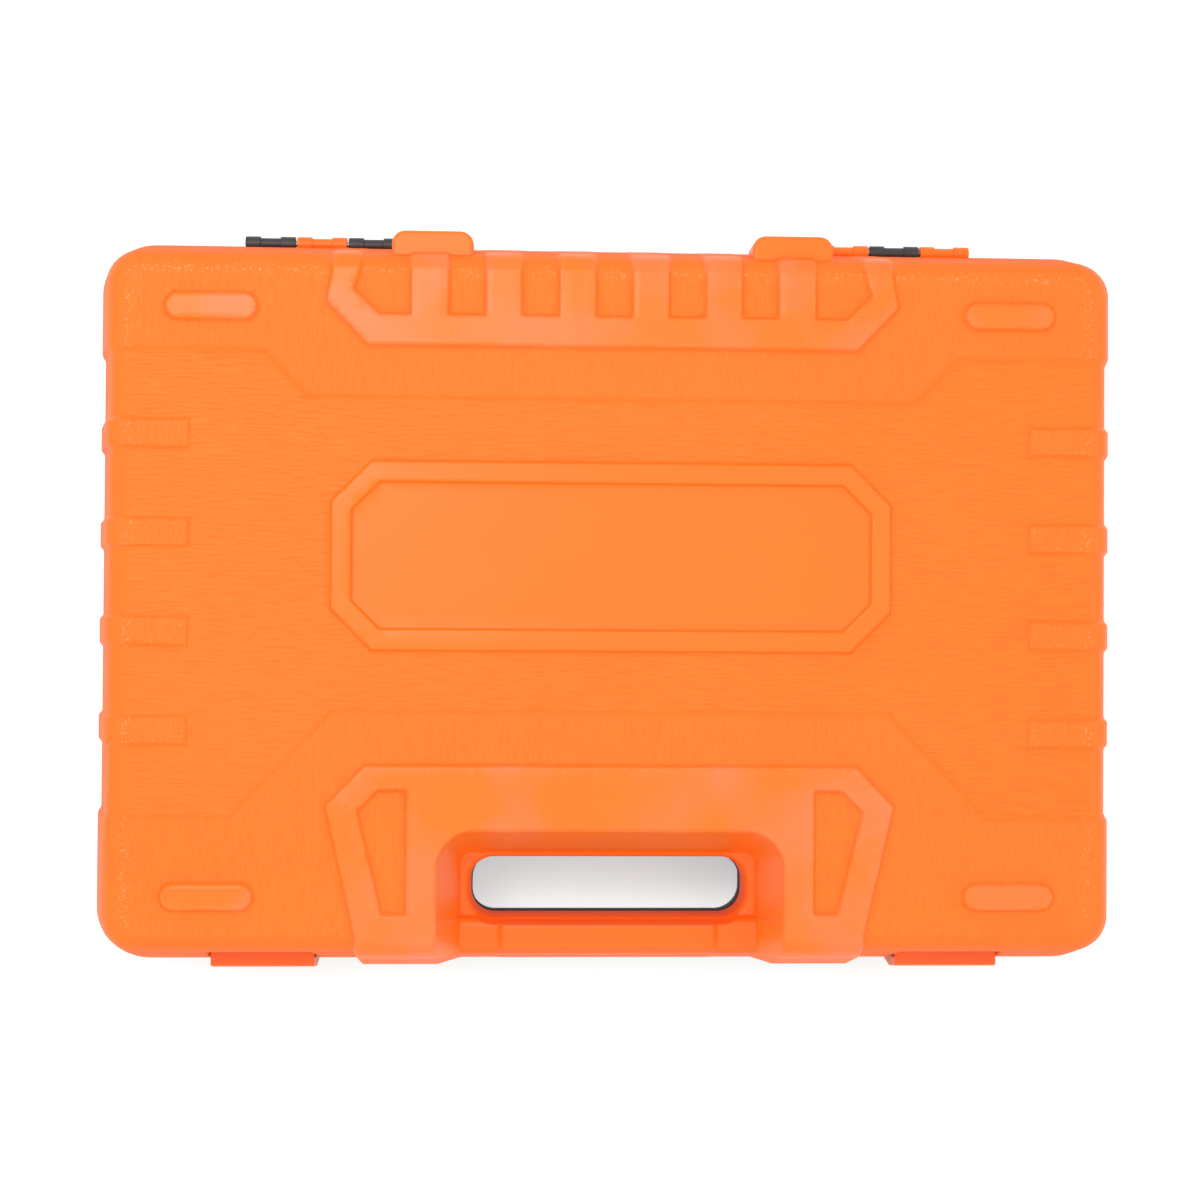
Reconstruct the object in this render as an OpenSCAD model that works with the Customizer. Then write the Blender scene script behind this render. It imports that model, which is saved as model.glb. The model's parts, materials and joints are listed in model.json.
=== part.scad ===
// Socket wrench set in a hinged carry case.
// The case lies flat with its handle towards -Y and its hinges towards +Y.
// Origin: centre of the case, on the plane it rests on. Units: millimetres.

/* [Case] */
// Height of one half of the case, from the parting plane to its raised bands
half_h = 36; // [34:0.5:40]
// Width of the case between its side ribs
case_w = 386; // [384:1:392]
// Depth of the case, front wall to rear wall
case_d = 272.6; // [272:0.2:276]
// Radius of the case's upright corners
corner_r = 19.5; // [16:0.5:24]
// Radius of the rolled edge around the top and bottom faces
roll_r = 8; // [6:0.5:9]
// How far the outer walls lean inwards, in degrees
lean = 14; // [12:0.5:15]
// How far the corner zones and side ribs stand out of the side walls
proud = 1.3; // [0.8:0.1:1.6]
// How far the handle bosses stand out of the front wall
boss_out = 2.6; // [2:0.1:3]
// Thickness of the case's walls
wall = 2; // [1.8:0.1:2.2]
// Thickness of the inner skins
skin = 1.4; // [1.2:0.1:1.6]
// Gap between the two halves at the rim
rim_gap = 0.3; // [0.3:0.05:0.5]

/* [Handle] */
// Half width of the finger slot
slot_x = 51.3; // [49:0.5:53]
// Half width of the recess around the slot, at the raised band
recess_x = 65; // [64:0.5:66]
// Height of the grip bar above the parting plane
bar_h = 20; // [18:0.5:22]

/* [Hinges and latches] */
// Distance of the hinge axis behind the rear wall
hinge_out = 1.3; // [1.2:0.1:1.5]
// Radius of the hinge knuckles' end lugs
lug_r = 2.7; // [2.4:0.1:2.8]
// Radius of the hinge pins
hinge_pin_r = 1.1; // [0.9:0.1:1.2]
// Radius of the latch pins
latch_pin_r = 1.25; // [1:0.05:1.5]
// Running clearance of every pin, all round
run = 0.05; // [0.03:0.01:0.08]

/* [Tools] */
// Clearance between a tool and its pocket
pocket_gap = 0.5; // [0.4:0.1:0.7]
// Length of a 1/2 inch drive socket
socket_l = 38; // [36:0.5:38.5]
// Length of a 1/4 inch drive socket
small_socket_l = 25; // [24:0.5:25]
// Size of the large square drive
large_sq = 12.7; // [12.7:0.1:12.8]
// Size of the small square drive
small_sq = 6.35; // [6.3:0.05:6.4]

/* [Hidden] */
$fn = 48;
eps = 0.01;
far = 500;

// Case levels, measured from the parting plane
face_h = half_h - 4;        // recessed centre of a face
field_h = half_h - 2.5;     // raised front and rear fields, ribs
band_h = half_h - 2;        // frame around the plate
side_x = case_w / 2;
wall_y = case_d / 2;
hinge_y = wall_y + hinge_out;

// Handle levels
recess_floor = bar_h - 6;
recess_y = -83;
slot_front = -118;
slot_rear = -96.8;
bar_front = -136.4;

// Hinge knuckles: four on each side, numbered from the outside
knuckle_pitch = 19.7;
knuckle_start = 140.4;
knuckle_gap = 0.3;

// Latches
latch_in = 110.7;
latch_out = 149.6;
latch_gap = 0.6;
latch_pin_y = -134.6;
latch_pin_z = half_h - 15;
notch_y = -131.2;
notch_h = 32;           // through the rolled edge, so that the latch shows from above and below

// Tray
tray_z = half_h - 1.6;
axis_z = tray_z;
dome_h = 24;

/* ---------- case ---------- */

// Rectangle with round corners, between two y values
module rounded_plan(hx, y0, y1, r) {
    for (x = [-hx + r, hx - r], y = [y0 + r, y1 - r]) translate([x, y]) circle(r);
    translate([-hx + r, y0]) square([2 * (hx - r), y1 - y0]);
    translate([-hx, y0 + r]) square([2 * hx, y1 - y0 - 2 * r]);
}

// A length to a whole hundredth, so straight walls and round corners meet exactly
function whole(v) = round(v * 100) / 100;

// Side view of a leaning wall with a rolled top edge, from the middle out to its foot at r
module wall_profile(r, top, roll) {
    cx = whole(r - (top - roll) * tan(lean) - roll / cos(lean));
    translate([cx, top - roll]) intersection() {
        circle(roll);
        square(roll);
    }
    polygon([[0, 0], [r, 0], [cx + whole(roll * cos(lean)), top - roll + whole(roll * sin(lean))], [cx, top], [0, top]]);
}

module along_x(len) rotate([90, 0, 90]) translate([0, 0, -len / 2]) linear_extrude(len) children();
module along_y(len) rotate([90, 0, 0]) translate([0, 0, -len / 2]) linear_extrude(len) children();

// Block with leaning walls, round corners and a rolled top edge, standing on the parting plane
module rolled_block(hx, y0, y1, top, roll, corner) {
    depth = y1 - y0;
    translate([0, (y0 + y1) / 2, 0]) {
        for (s = [0, 180]) rotate(s) {
            along_y(depth - 2 * corner) wall_profile(hx, top, roll);
            rotate(90) along_y(2 * (hx - corner)) wall_profile(depth / 2, top, roll);
            translate([hx - corner, depth / 2 - corner, 0]) rotate_extrude(angle = 90) wall_profile(corner, top, roll);
            translate([corner - hx, depth / 2 - corner, 0]) rotate(90)
                rotate_extrude(angle = 90) wall_profile(corner, top, roll);
        }
    }
}

module both_sides() {
    children();
    mirror([1, 0, 0]) children();
}

// Raised front and rear fields with their chamfered steps, and the side ribs
module field_plan() {
    polygon([[-far, 92], [-129, 92], [-113, 75.2], [113, 75.2], [129, 92], [far, 92], [far, far], [-far, far]]);
    polygon([[-far, -79.6], [-140, -79.6], [-103, -40.8], [103, -40.8], [140, -79.6], [far, -79.6],
             [far, -far], [-far, -far]]);
    both_sides() for (i = [0:3]) translate([156, 61.2 - i * 36.4 - 5.2]) square([60, 10.4]);
}

// Band along the rear edge, with seven windows open to the rear
module comb_plan() {
    difference() {
        polygon([[-104, far], [-104, 122], [-106.3, 110.2], [-90.7, 94], [90.7, 94], [106.3, 110.2],
                 [104, 122], [104, far]]);
        for (i = [-2:2]) translate([i * 27.2 - 6.6, 105.8]) square([13.2, far]);
        both_sides() polygon([[75.3, 105.8], [86.5, 105.8], [95.8, 114.6], [93.4, 122], [93.4, far], [75.3, far]]);
    }
}

// Raised block around the handle, with two five-sided windows
module block_plan() {
    difference() {
        polygon([[-94, -far], [-94, -124], [-105.2, -75.2], [-91, -60.3], [91, -60.3], [105.2, -75.2],
                 [94, -124], [94, -far]]);
        both_sides() polygon([[75.5, -69.5], [85.5, -69.5], [93.2, -77.3], [84, -114.8], [75.5, -114.8]]);
    }
}

// Octagon with cut corners
module octagon(hx, hy, cut) {
    polygon([[hx - cut, hy], [hx, hy - cut], [hx, cut - hy], [hx - cut, -hy],
             [cut - hx, -hy], [-hx, cut - hy], [-hx, hy - cut], [cut - hx, hy]]);
}

module plate_plan() {
    translate([0, 16.8]) difference() {
        octagon(103.8, 35, 15);
        octagon(96.3, 27.1, 10.4);
    }
}

module pad_plan() {
    both_sides() for (y = [-108.6, 107.8]) translate([148, y])
        rounded_plan(16.8, -5, 5, 4.9);
}

module foot_plan() both_sides() translate([67.4, 0]) rounded_plan(15.2, 120, wall_y + 1.7, 5);

module outer_form() {
    rolled_block(side_x, -wall_y, wall_y, face_h, roll_r, corner_r);
    intersection() {
        rolled_block(side_x + proud, -wall_y, wall_y, field_h, roll_r, corner_r);
        linear_extrude(far) field_plan();
    }
    intersection() {
        rolled_block(side_x, -wall_y - boss_out, wall_y, half_h, roll_r, corner_r);
        linear_extrude(far) {
            comb_plan();
            block_plan();
        }
    }
    translate([0, 0, face_h - 1]) {
        linear_extrude(band_h - face_h + 1) plate_plan();
        linear_extrude(half_h - face_h + 1) pad_plan();
    }
    translate([0, 0, half_h - 25]) linear_extrude(18) foot_plan();
}

// Sloping recess around the handle, open to the front; g grows it by a wall
module recess_form(g) {
    floor_z = recess_floor - g;
    bar_z = bar_h - g * 2;
    intersection() {
        linear_extrude(far) rounded_plan(recess_x + g, -far, recess_y + g, 15);
        along_y(far * 3) polygon([[-55 - g, floor_z], [55 + g, floor_z],
            [recess_x + 1 + g, half_h + 2], [-recess_x - 1 - g, half_h + 2]]);
        along_x(far) polygon([[-far, bar_z], [slot_front - g, bar_z], [slot_front - g, floor_z],
            [slot_rear + 1.8 + g, floor_z], [recess_y + 0.6 + g, half_h + 2], [-far, half_h + 2]]);
    }
}

module bar_steps() both_sides() translate([40.5, -far, bar_h - 2]) cube([14.8, far + slot_front, 4]);

module slot_form(g) {
    translate([0, 0, -1]) linear_extrude(recess_floor + 2)
        rounded_plan(slot_x + g, slot_front - g, slot_rear + g, 8.5);
}

// Pocket in the front wall that a latch sits in
module notch_form(g) {
    both_sides() translate([0, 0, -1]) linear_extrude(notch_h + 1)
        polygon([[latch_in - latch_gap - g, notch_y + g], [latch_out + latch_gap + g, notch_y + g],
                 [latch_out + 4 + g, -145], [latch_in - 4 - g, -145]]);
}

function knuckle_x(i) = knuckle_start - knuckle_pitch * (i + 0.5);

// The parts of the hinge line that this half's knuckles stand on: 1st and 3rd on its right
module own_knuckles() {
    for (i = [0, 2]) translate([knuckle_x(i), 0, 0]) children();
    for (i = [1, 3]) translate([-knuckle_x(i), 0, 0]) children();
}

module other_knuckles() mirror([1, 0, 0]) own_knuckles() children();

module knuckle() {
    len = knuckle_pitch - 2 * knuckle_gap;
    translate([0, hinge_y, 0]) rotate([0, 90, 0]) {
        for (s = [-1, 1]) translate([0, 0, s * (len / 2 - 2.9)]) cylinder(r = lug_r, h = 5.8, center = true);
        cylinder(r = lug_r - 0.6, h = len - 2, center = true);
    }
}

// One moulded half of the case, standing on the parting plane
module half_shell() {
    inner_x = side_x - wall;
    inner_y = wall_y - wall;
    difference() {
        union() {
            difference() {
                outer_form();
                difference() {
                    translate([0, 0, -eps])
                        rolled_block(inner_x, -inner_y, inner_y, face_h - wall, roll_r - wall, corner_r - wall);
                    recess_form(wall);
                    slot_form(wall);
                    notch_form(wall);
                    both_sides() translate([60, inner_y - 3.4, -1]) cube([82, 6, 8]);
                }
                recess_form(0);
                bar_steps();
                along_x(110) polygon([[-150, -1], [bar_front, 0], [bar_front + half_h * tan(lean), half_h],
                    [-150, half_h]]);
                slot_form(0);
                notch_form(0);
                translate([-far, -far, -far]) cube([2 * far, 2 * far, far + rim_gap / 2]);
                other_knuckles() translate([0, hinge_y, 0]) rotate([0, 90, 0])
                    cylinder(r = lug_r + 0.7, h = knuckle_pitch, center = true);
            }
            own_knuckles() knuckle();
        }
        both_sides() translate([50, hinge_y, 0]) rotate([0, 90, 0]) cylinder(r = hinge_pin_r + run, h = 100);
    }
}

module lid_place() translate([0, 0, half_h]) children();
module base_place() translate([0, 0, half_h]) rotate([0, 180, 0]) children();

module lid_shell() {
    color("#F9752A") lid_place() {
        half_shell();
        // catch beads that the latches hook over
        both_sides() translate([112, -134.4, 4]) cube([36, 3.6, 2.6]);
    }
}

module base_shell() {
    color("#3E3B3A") difference() {
        union() {
            base_place() half_shell();
            // lugs that carry the latch pins
            both_sides() for (x = [latch_in - latch_gap - 5.6, latch_out + latch_gap + 0.2])
                translate([x, latch_pin_y - 2.7, latch_pin_z - 3.6]) cube([5.4, 7, 7.2]);
        }
        both_sides() translate([latch_in - 4, latch_pin_y, latch_pin_z]) rotate([0, 90, 0])
            cylinder(r = latch_pin_r + run, h = latch_out - latch_in + 8);
    }
}

// Area inside the rim that an inner skin covers
module skin_plan(g) {
    inner_x = side_x - wall - whole(3.1 * tan(lean)) - g;
    inner_y = wall_y - wall - whole(3.1 * tan(lean)) - g;
    difference() {
        rounded_plan(inner_x, -inner_y, inner_y, corner_r - wall);
        both_sides() translate([60 - g, inner_y - 3.4 - 0.2]) square([82 + 2 * g, 10]);
        both_sides() polygon([[latch_in - latch_gap - wall - g, notch_y + wall + g],
            [latch_out + latch_gap + wall + g, notch_y + wall + g],
            [latch_out + 7 + g, -145], [latch_in - 7 - g, -145]]);
        rounded_plan(slot_x + wall + g, slot_front - wall - g, slot_rear + wall + g, 8.5);
    }
}

// Space under the lid's dished inner skin
module dome(inset) {
    hx = side_x - wall - 0.4 - inset;
    hy = wall_y - wall - 0.4 - inset;
    intersection() {
        rolled_block(hx, -hy, hy, dome_h + skin - inset, 3, corner_r - wall - 0.4 - inset);
        linear_extrude(far) difference() {
            translate([-far, -128.8 + inset]) square([2 * far, 258.2 - 2 * inset]);
            translate([-72 - inset, -far]) square([144 + 2 * inset, far - 79.5 + inset]);
        }
    }
}

module lid_liner() {
    color("#F9752A") lid_place() difference() {
        union() {
            translate([0, 0, 1.6]) linear_extrude(skin) skin_plan(0.05);
            dome(0);
        }
        dome(skin);
        translate([-far, -far, -1]) cube([2 * far, 2 * far, 2.6]);
    }
}

/* ---------- latches and pins ---------- */

module latch() {
    color("#FF6A2C") difference() {
        union() {
            translate([(latch_in + latch_out) / 2, 0, 0]) along_x(latch_out - latch_in)
                polygon([[-138.3, latch_pin_z + 24.6], [-137.5, latch_pin_z + 25.6], [-132, latch_pin_z + 25.6],
                    [-132, latch_pin_z + 22.5], [-135, latch_pin_z + 22.2], [-135, latch_pin_z],
                    [-138.7, latch_pin_z], [-140.3, latch_pin_z + 12]]);
            translate([latch_in, latch_pin_y, latch_pin_z]) rotate([0, 90, 0])
                cylinder(r = 2.8, h = latch_out - latch_in);
        }
        translate([latch_in - 5, latch_pin_y, latch_pin_z]) rotate([0, 90, 0])
            cylinder(r = latch_pin_r + run, h = 60);
    }
}

module latch_pin() {
    color("silver") translate([latch_in - 3.8, latch_pin_y, latch_pin_z]) rotate([0, 90, 0])
        cylinder(r = latch_pin_r, h = latch_out - latch_in + 7.6);
}

module hinge_pin() {
    len = 4 * knuckle_pitch - 2;
    color("silver") translate([knuckle_start - len - 1, hinge_y, half_h]) rotate([0, 90, 0])
        cylinder(r = hinge_pin_r, h = len);
}

/* ---------- layout of the tools ---------- */

// 1/2 inch sockets: [size, outside diameter], row by row, each row from its left end
row_rear = [[10, 22], [11, 22], [12, 22], [13, 22], [14, 22], [15, 22], [16, 22], [17, 24], [18, 25],
    [19, 26], [20, 28], [21, 29], [32, 42]];
row_right = [[22, 30], [24, 32], [27, 36]];
// 1/4 inch sockets: [size, outside diameter]
row_small = [[4, 11.8], [4.5, 11.8], [5, 11.8], [5.5, 11.8], [6, 11.8], [7, 11.8], [8, 12], [9, 13],
    [10, 14.5], [11, 16], [12, 17], [13, 18], [14, 20]];
row_deep = [[8, 12], [9, 13], [10, 14.5], [11, 16], [12, 17], [13, 18]];
row_star = [[4, 12], [5, 12], [6, 12], [7, 12], [8, 12], [10, 13]];

// x of socket i in a row that starts at x0, with gap between neighbours
function row_x(row, i, x0, gap) = i == 0 ? x0 + row[0][1] / 2
    : row_x(row, i - 1, x0, gap) + row[i - 1][1] / 2 + gap + row[i][1] / 2;

rear_x0 = -181.5;
rear_gap = 2.9;
rear_y = 106.8;
right_x0 = 77.5;
right_gap = 2.6;
right_y = 66.8;
small_x0 = -184;
small_gap = 2.2;
small_y = -34.8;
deep_x0 = 82;
deep_gap = 2.3;
deep_y = -100.5;
deep_l = 50;
star_x0 = 31;
star_gap = 2.2;
wing_socket = [30, 40];
wing_at = [-163, -104.5];
plug_l = 65;
plugs = [[21, 28, -111.5], [16, 22, -84.7]];
plug_x = -106;
ratchet_at = [-164, 66.6];
small_ratchet_at = [-171, -7];
small_ratchet_k = 0.62;
extension_at = [-30, 33.4];
extension_l = 125;
joint_at = [100, 26.5];
adapter_at = [119, -34.8];
spinner_at = [-184, 33];
flex_at = [-184, 14.2];
ext_at = [[-30, 14.2, 100], [95, -0.6, 50]];
joint_r = 12;
joint_h = 33;
joint_pin_r = joint_r * 0.22;
small_joint_at = [148.2, -0.6];
small_joint_k = 0.54;
holder_at = [95, -14.6];
tbar_at = [-25, -1];
tbar_l = 115;
head_travel = 45;

// Racks: [x, y, columns, rows, pitch, hole radius, hole depth]
racks = [[-127, -59.4, 10, 2, 11, 4.9, 16], [140, -60, 7, 2, 11, 4.9, 16],
    [7.3, -63.2, 16, 3, 9, 3.9, 13], [28, -15.4, 12, 1, 9, 3.9, 13]];
rack_h = 19;

module lying_x(at) translate([at[0], at[1], axis_z]) rotate([0, 90, 0]) children();
module lying_y(x, y) translate([x, y, axis_z]) rotate([90, 0, 0]) children();

/* ---------- base tray ---------- */

module rod_pocket(r, l, g) translate([0, 0, -pocket_gap - g]) cylinder(r = r + pocket_gap + g, h = l + 2 * (pocket_gap + g));
module socket_pocket(d, l, g) translate([0, 0, -l / 2]) rod_pocket(d / 2, l, g);

module box_pocket(x0, x1, y0, y1, depth, g) {
    translate([x0 - g, y0 - g, tray_z - depth - g]) cube([x1 - x0 + 2 * g, y1 - y0 + 2 * g, depth + g + 30]);
}

module ratchet_pocket(at, k, g) {
    translate([at[0], at[1], axis_z]) {
        translate([0, 0, -10 * k - pocket_gap - g]) cylinder(r = 18.5 * k + pocket_gap + g, h = 40);
        translate([0, 0, -24.4 * k - pocket_gap - g]) cylinder(r = 11.4 * k + g, h = 40);
        rotate([0, 90, 0]) {
            cylinder(r = 8.4 * k + pocket_gap + g, h = 120 * k);
            translate([0, 0, 112 * k]) rod_pocket(12 * k, 119 * k, g);
        }
    }
}

// Every pocket of the tray; g grows them by the tray's skin
module pockets(g) {
    for (i = [0:len(row_rear) - 1]) lying_y(row_x(row_rear, i, rear_x0, rear_gap), rear_y)
        socket_pocket(row_rear[i][1], socket_l, g);
    for (i = [0:len(row_right) - 1]) lying_y(row_x(row_right, i, right_x0, right_gap), right_y)
        socket_pocket(row_right[i][1], socket_l, g);
    for (i = [0:len(row_small) - 1]) lying_y(row_x(row_small, i, small_x0, small_gap), small_y)
        socket_pocket(row_small[i][1], small_socket_l, g);
    for (i = [0:len(row_star) - 1]) lying_y(row_x(row_star, i, star_x0, star_gap), small_y)
        socket_pocket(row_star[i][1], small_socket_l, g);
    for (i = [0:len(row_deep) - 1]) lying_y(row_x(row_deep, i, deep_x0, deep_gap), deep_y)
        socket_pocket(row_deep[i][1], deep_l, g);
    lying_y(wing_at[0], wing_at[1]) socket_pocket(wing_socket[1], socket_l, g);
    for (p = plugs) lying_x([plug_x, p[2]]) socket_pocket(p[1], plug_l, g);
    ratchet_pocket(ratchet_at, 1, g);
    ratchet_pocket(small_ratchet_at, small_ratchet_k, g);
    lying_x(extension_at) rod_pocket(11, extension_l, g);
    lying_x(joint_at) rod_pocket(12.5, 32, g);
    box_pocket(joint_at[0] + 30, joint_at[0] + 73, joint_at[1] - 18, joint_at[1] + 18, 14, g);
    lying_x(adapter_at) rod_pocket(11, 38, g);
    lying_x(spinner_at) rod_pocket(12, 82, g);
    lying_x(spinner_at) rod_pocket(6.2, 150, g);
    lying_x(flex_at) rod_pocket(6, 150, g);
    for (e = ext_at) lying_x(e) rod_pocket(6, e[2], g);
    lying_x(small_joint_at) rod_pocket(7, 36, g);
    lying_x(holder_at) rod_pocket(5.5, 60, g);
    box_pocket(tbar_at[0] - 1, tbar_at[0] + tbar_l + 1, tbar_at[1] - 8, tbar_at[1] + 8, 17, g);
    for (r = racks) box_pocket(r[0] - r[2] * r[4] / 2 - 1.3, r[0] + r[2] * r[4] / 2 + 1.3,
        r[1] - r[3] * r[4] / 2 - 1.3, r[1] + r[3] * r[4] / 2 + 1.3, rack_h + 0.1, g);
}

module base_tray() {
    $fn = 40;
    color("#45413F") difference() {
        union() {
            translate([0, 0, tray_z - skin]) linear_extrude(skin) skin_plan(0.05);
            intersection() {
                pockets(skin);
                translate([-side_x, -wall_y, 0]) cube([case_w, case_d, tray_z - 0.5]);
            }
        }
        pockets(0);
    }
}

/* ---------- tools ---------- */

module hex_hole(af, depth) translate([0, 0, -1]) cylinder(r = af / sqrt(3), h = depth + 1, $fn = 6);
module star_hole(af, depth) for (a = [0, 30]) rotate(a) hex_hole(af, depth);
module square_bar(s, h) translate([-s / 2, -s / 2, 0]) cube([s, s, h]);

// Socket standing on its open end, which takes a hexagon or a star
module socket(af, d, l, sq, star = false) {
    drive_d = max(d, sq * 1.72);
    difference() {
        rotate_extrude() polygon([[0, 0], [d / 2 - 0.8, 0], [d / 2, 0.8], [d / 2, l * 0.45],
            [drive_d / 2, l * 0.5], [drive_d / 2, l - 0.8], [drive_d / 2 - 0.8, l], [0, l]]);
        if (star) star_hole(af + 0.1, l * 0.42);
        else hex_hole(af + 0.1, l * 0.42);
        translate([0, 0, l - sq * 1.2]) square_bar(sq + 0.15, 60);
        cylinder(r = min(af, sq) * 0.36, h = l);
        // hole for the drive's ball
        if (sq == large_sq) translate([0, 0, l - sq * 0.6]) rotate([0, 90, 0])
            cylinder(r = 1.6, h = drive_d + 2, center = true);
    }
}

module large_socket(s, x, y) {
    color("#C9CDD2") lying_y(x, y) translate([0, 0, -socket_l / 2]) socket(s[0], s[1], socket_l, large_sq);
}

module socket_of_size(size) {
    for (i = [0:len(row_rear) - 1]) if (row_rear[i][0] == size)
        large_socket(row_rear[i], row_x(row_rear, i, rear_x0, rear_gap), rear_y);
    for (i = [0:len(row_right) - 1]) if (row_right[i][0] == size)
        large_socket(row_right[i], row_x(row_right, i, right_x0, right_gap), right_y);
    if (wing_socket[0] == size) large_socket(wing_socket, wing_at[0], wing_at[1]);
}

module small_row(row, x0, gap, y, l, star = false) {
    color("#C9CDD2") for (i = [0:len(row) - 1]) lying_y(row_x(row, i, x0, gap), y)
        translate([0, 0, -l / 2]) socket(row[i][0], row[i][1], l, small_sq, star);
}

module spark_plug_sockets() {
    color("#C9CDD2") for (p = plugs) lying_x([plug_x, p[2]])
        translate([0, 0, -plug_l / 2]) socket(p[0], p[1], plug_l, large_sq);
}

// Extension bar: square tip at 0, female end at l
module extension(l, body_r, end_r, sq, end_l) {
    difference() {
        union() {
            square_bar(sq - 0.1, sq * 1.3);
            translate([0, 0, sq * 1.2]) cylinder(r = body_r, h = l - sq * 1.2 - 1);
            translate([0, 0, l - end_l]) cylinder(r = end_r, h = end_l);
        }
        translate([0, 0, l - sq * 1.2]) square_bar(sq + 0.15, 60);
    }
}

module large_extension() color("#C9CDD2") lying_x(extension_at) extension(extension_l, 8, 11, large_sq, 28);

module small_extensions() {
    color("#C9CDD2") for (e = ext_at) lying_x(e) extension(e[2], 4.2, 6, small_sq, 16);
}

// Yoke of a universal joint along +Z: a barrel, and two ears around the cross at height h
module yoke(r, h, ear, pin_r) {
    difference() {
        union() {
            cylinder(r = r, h = h - r * 0.85);
            intersection() {
                cylinder(r = r, h = h + ear);
                for (s = [-1, 1]) translate([s * r * 0.78 - r * 0.23, -ear, h - r]) cube([r * 0.46, 2 * ear, r + ear]);
            }
        }
        translate([0, 0, h]) rotate([0, 90, 0]) cylinder(r = pin_r + run, h = 3 * r, center = true);
    }
}

module cross(r) {
    cube(r * 0.88, center = true);
    for (a = [0, 90, 180, 270]) rotate([90, 0, a]) translate([0, 0, r * 0.3]) cylinder(r = r * 0.22, h = 0.62 * r);
}

module large_joint_socket() {
    color("#C9CDD2") lying_x(joint_at) difference() {
        rotate([0, 0, 90]) yoke(joint_r, joint_h, 4.6, joint_pin_r);
        translate([0, 0, -1]) square_bar(large_sq + 0.15, 14);
    }
}

module large_joint_cross() color("#B4B8BD") lying_x(joint_at) translate([0, 0, joint_h]) cross(joint_r);

module large_joint_drive() {
    color("#C9CDD2") lying_x(joint_at) translate([0, 0, 2 * joint_h]) mirror([0, 0, 1]) {
        translate([0, 0, 12]) yoke(joint_r * 0.92, joint_h - 12, 4.6, joint_pin_r);
        square_bar(large_sq - 0.1, 14);
    }
}

module small_joint() {
    k = small_joint_k;
    color("#C9CDD2") lying_x(small_joint_at) {
        difference() {
            rotate([0, 0, 90]) yoke(joint_r * k, joint_h * k, 4.6 * k, joint_pin_r * k);
            translate([0, 0, -1]) square_bar(small_sq + 0.15, 8);
        }
        translate([0, 0, joint_h * k]) cross(joint_r * k);
        translate([0, 0, 2 * joint_h * k]) mirror([0, 0, 1]) {
            translate([0, 0, 6]) yoke(joint_r * k * 0.92, joint_h * k - 6, 4.6 * k, joint_pin_r * k);
            square_bar(small_sq - 0.1, 7);
        }
    }
}

module bit_adapter() {
    color("#C9CDD2") lying_x(adapter_at) difference() {
        rotate_extrude() polygon([[0, 0], [7, 0], [7, 16], [11, 20], [11, 38], [0, 38]]);
        hex_hole(8, 14);
        translate([0, 0, 24]) square_bar(large_sq + 0.15, 60);
    }
}

/* ratchets: modelled for a 1/2 inch drive, head axis up, handle along +X; k scales them */

module ratchet_place(at) translate([at[0], at[1], axis_z]) children();

head_h = 10;
head_r = 18;
gear_r = 11;

module ratchet_body(k) {
    scale(k) difference() {
        union() {
            translate([0, 0, -head_h]) cylinder(r = head_r, h = 2 * head_h);
            translate([10, -7.5, -4]) cube([18, 15, 14]);
            rotate([0, 90, 0]) translate([0, 0, 16]) cylinder(r = 8, h = 104);
            rotate([0, 90, 0]) cylinder(r = 6, h = 228);
        }
        // gear chamber, plate seat and button bore
        translate([0, 0, -head_h - 1]) cylinder(r = gear_r + 0.12, h = 12);
        translate([0, 0, -head_h - 1]) cylinder(r = 14.5, h = 2.6);
        cylinder(r = 4.3, h = 30);
        // pawl chamber
        translate([gear_r - 1, -5, -head_h + 1.2]) cube([8, 10, 9.8]);
        // lever bore
        translate([21, 0, 2]) cylinder(r = 3 + run, h = 30);
    }
}

module ratchet_drive(k, sq) {
    teeth = 36;
    gear = gear_r * k - 0.05;
    h = 8.4 * k;
    difference() {
        union() {
            translate([0, 0, -head_h * k + 1.9 * k]) linear_extrude(h)
                polygon([for (i = [0:2 * teeth - 1]) let (r = i % 2 == 0 ? gear : gear - 0.7 * k, a = i * 180 / teeth)
                    [r * cos(a), r * sin(a)]]);
            translate([0, 0, -head_h * k - 0.6]) cylinder(r = 8.9 * k, h = 2.6 * k + 0.6);
            translate([0, 0, -24 * k]) square_bar(sq - 0.1, 15 * k);
        }
        translate([0, 0, -30 * k]) cylinder(r = 2.4 * k, h = 60 * k);
    }
}

module ratchet_plate(k) {
    scale(k) translate([0, 0, -head_h]) difference() {
        cylinder(r = 14.4, h = 1.5);
        translate([0, 0, -1]) cylinder(r = 9.2, h = 4);
    }
}

module ratchet_pawl() {
    translate([gear_r + 0.5, -4.5, -head_h + 2]) cube([5.5, 9, 7]);
}

module ratchet_lever(k) {
    scale(k) {
        translate([21, 0, 3]) cylinder(r = 3, h = 8);
        translate([0, 0, 10.4]) linear_extrude(2.2) {
            translate([21, 0]) circle(5);
            translate([21, -3.4]) square([15, 6.8]);
            translate([36, 0]) circle(3.4);
        }
    }
}

module ratchet_button(k) {
    scale(k) {
        translate([0, 0, 4.5]) cylinder(r = 4, h = 8.5);
        translate([0, 0, -12]) cylinder(r = 1.9, h = 17);
    }
}

// Sleeve on the end of a ratchet's handle
module ratchet_grip(k) {
    scale(k) rotate([0, 90, 0]) difference() {
        rotate_extrude() polygon([[0, 121], [9, 121], [11, 125], [11, 150], [12, 160], [12, 224], [9.5, 229.5], [0, 229.5]]);
        translate([0, 0, 120]) cylinder(r = 6, h = 108);
    }
}

module t_bar() {
    color("#C9CDD2") lying_x(tbar_at) {
        cylinder(r = 3.2, h = tbar_l);
        for (z = [0, tbar_l - 4]) translate([0, 0, z]) cylinder(r = 3.9, h = 4);
    }
}

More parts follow.
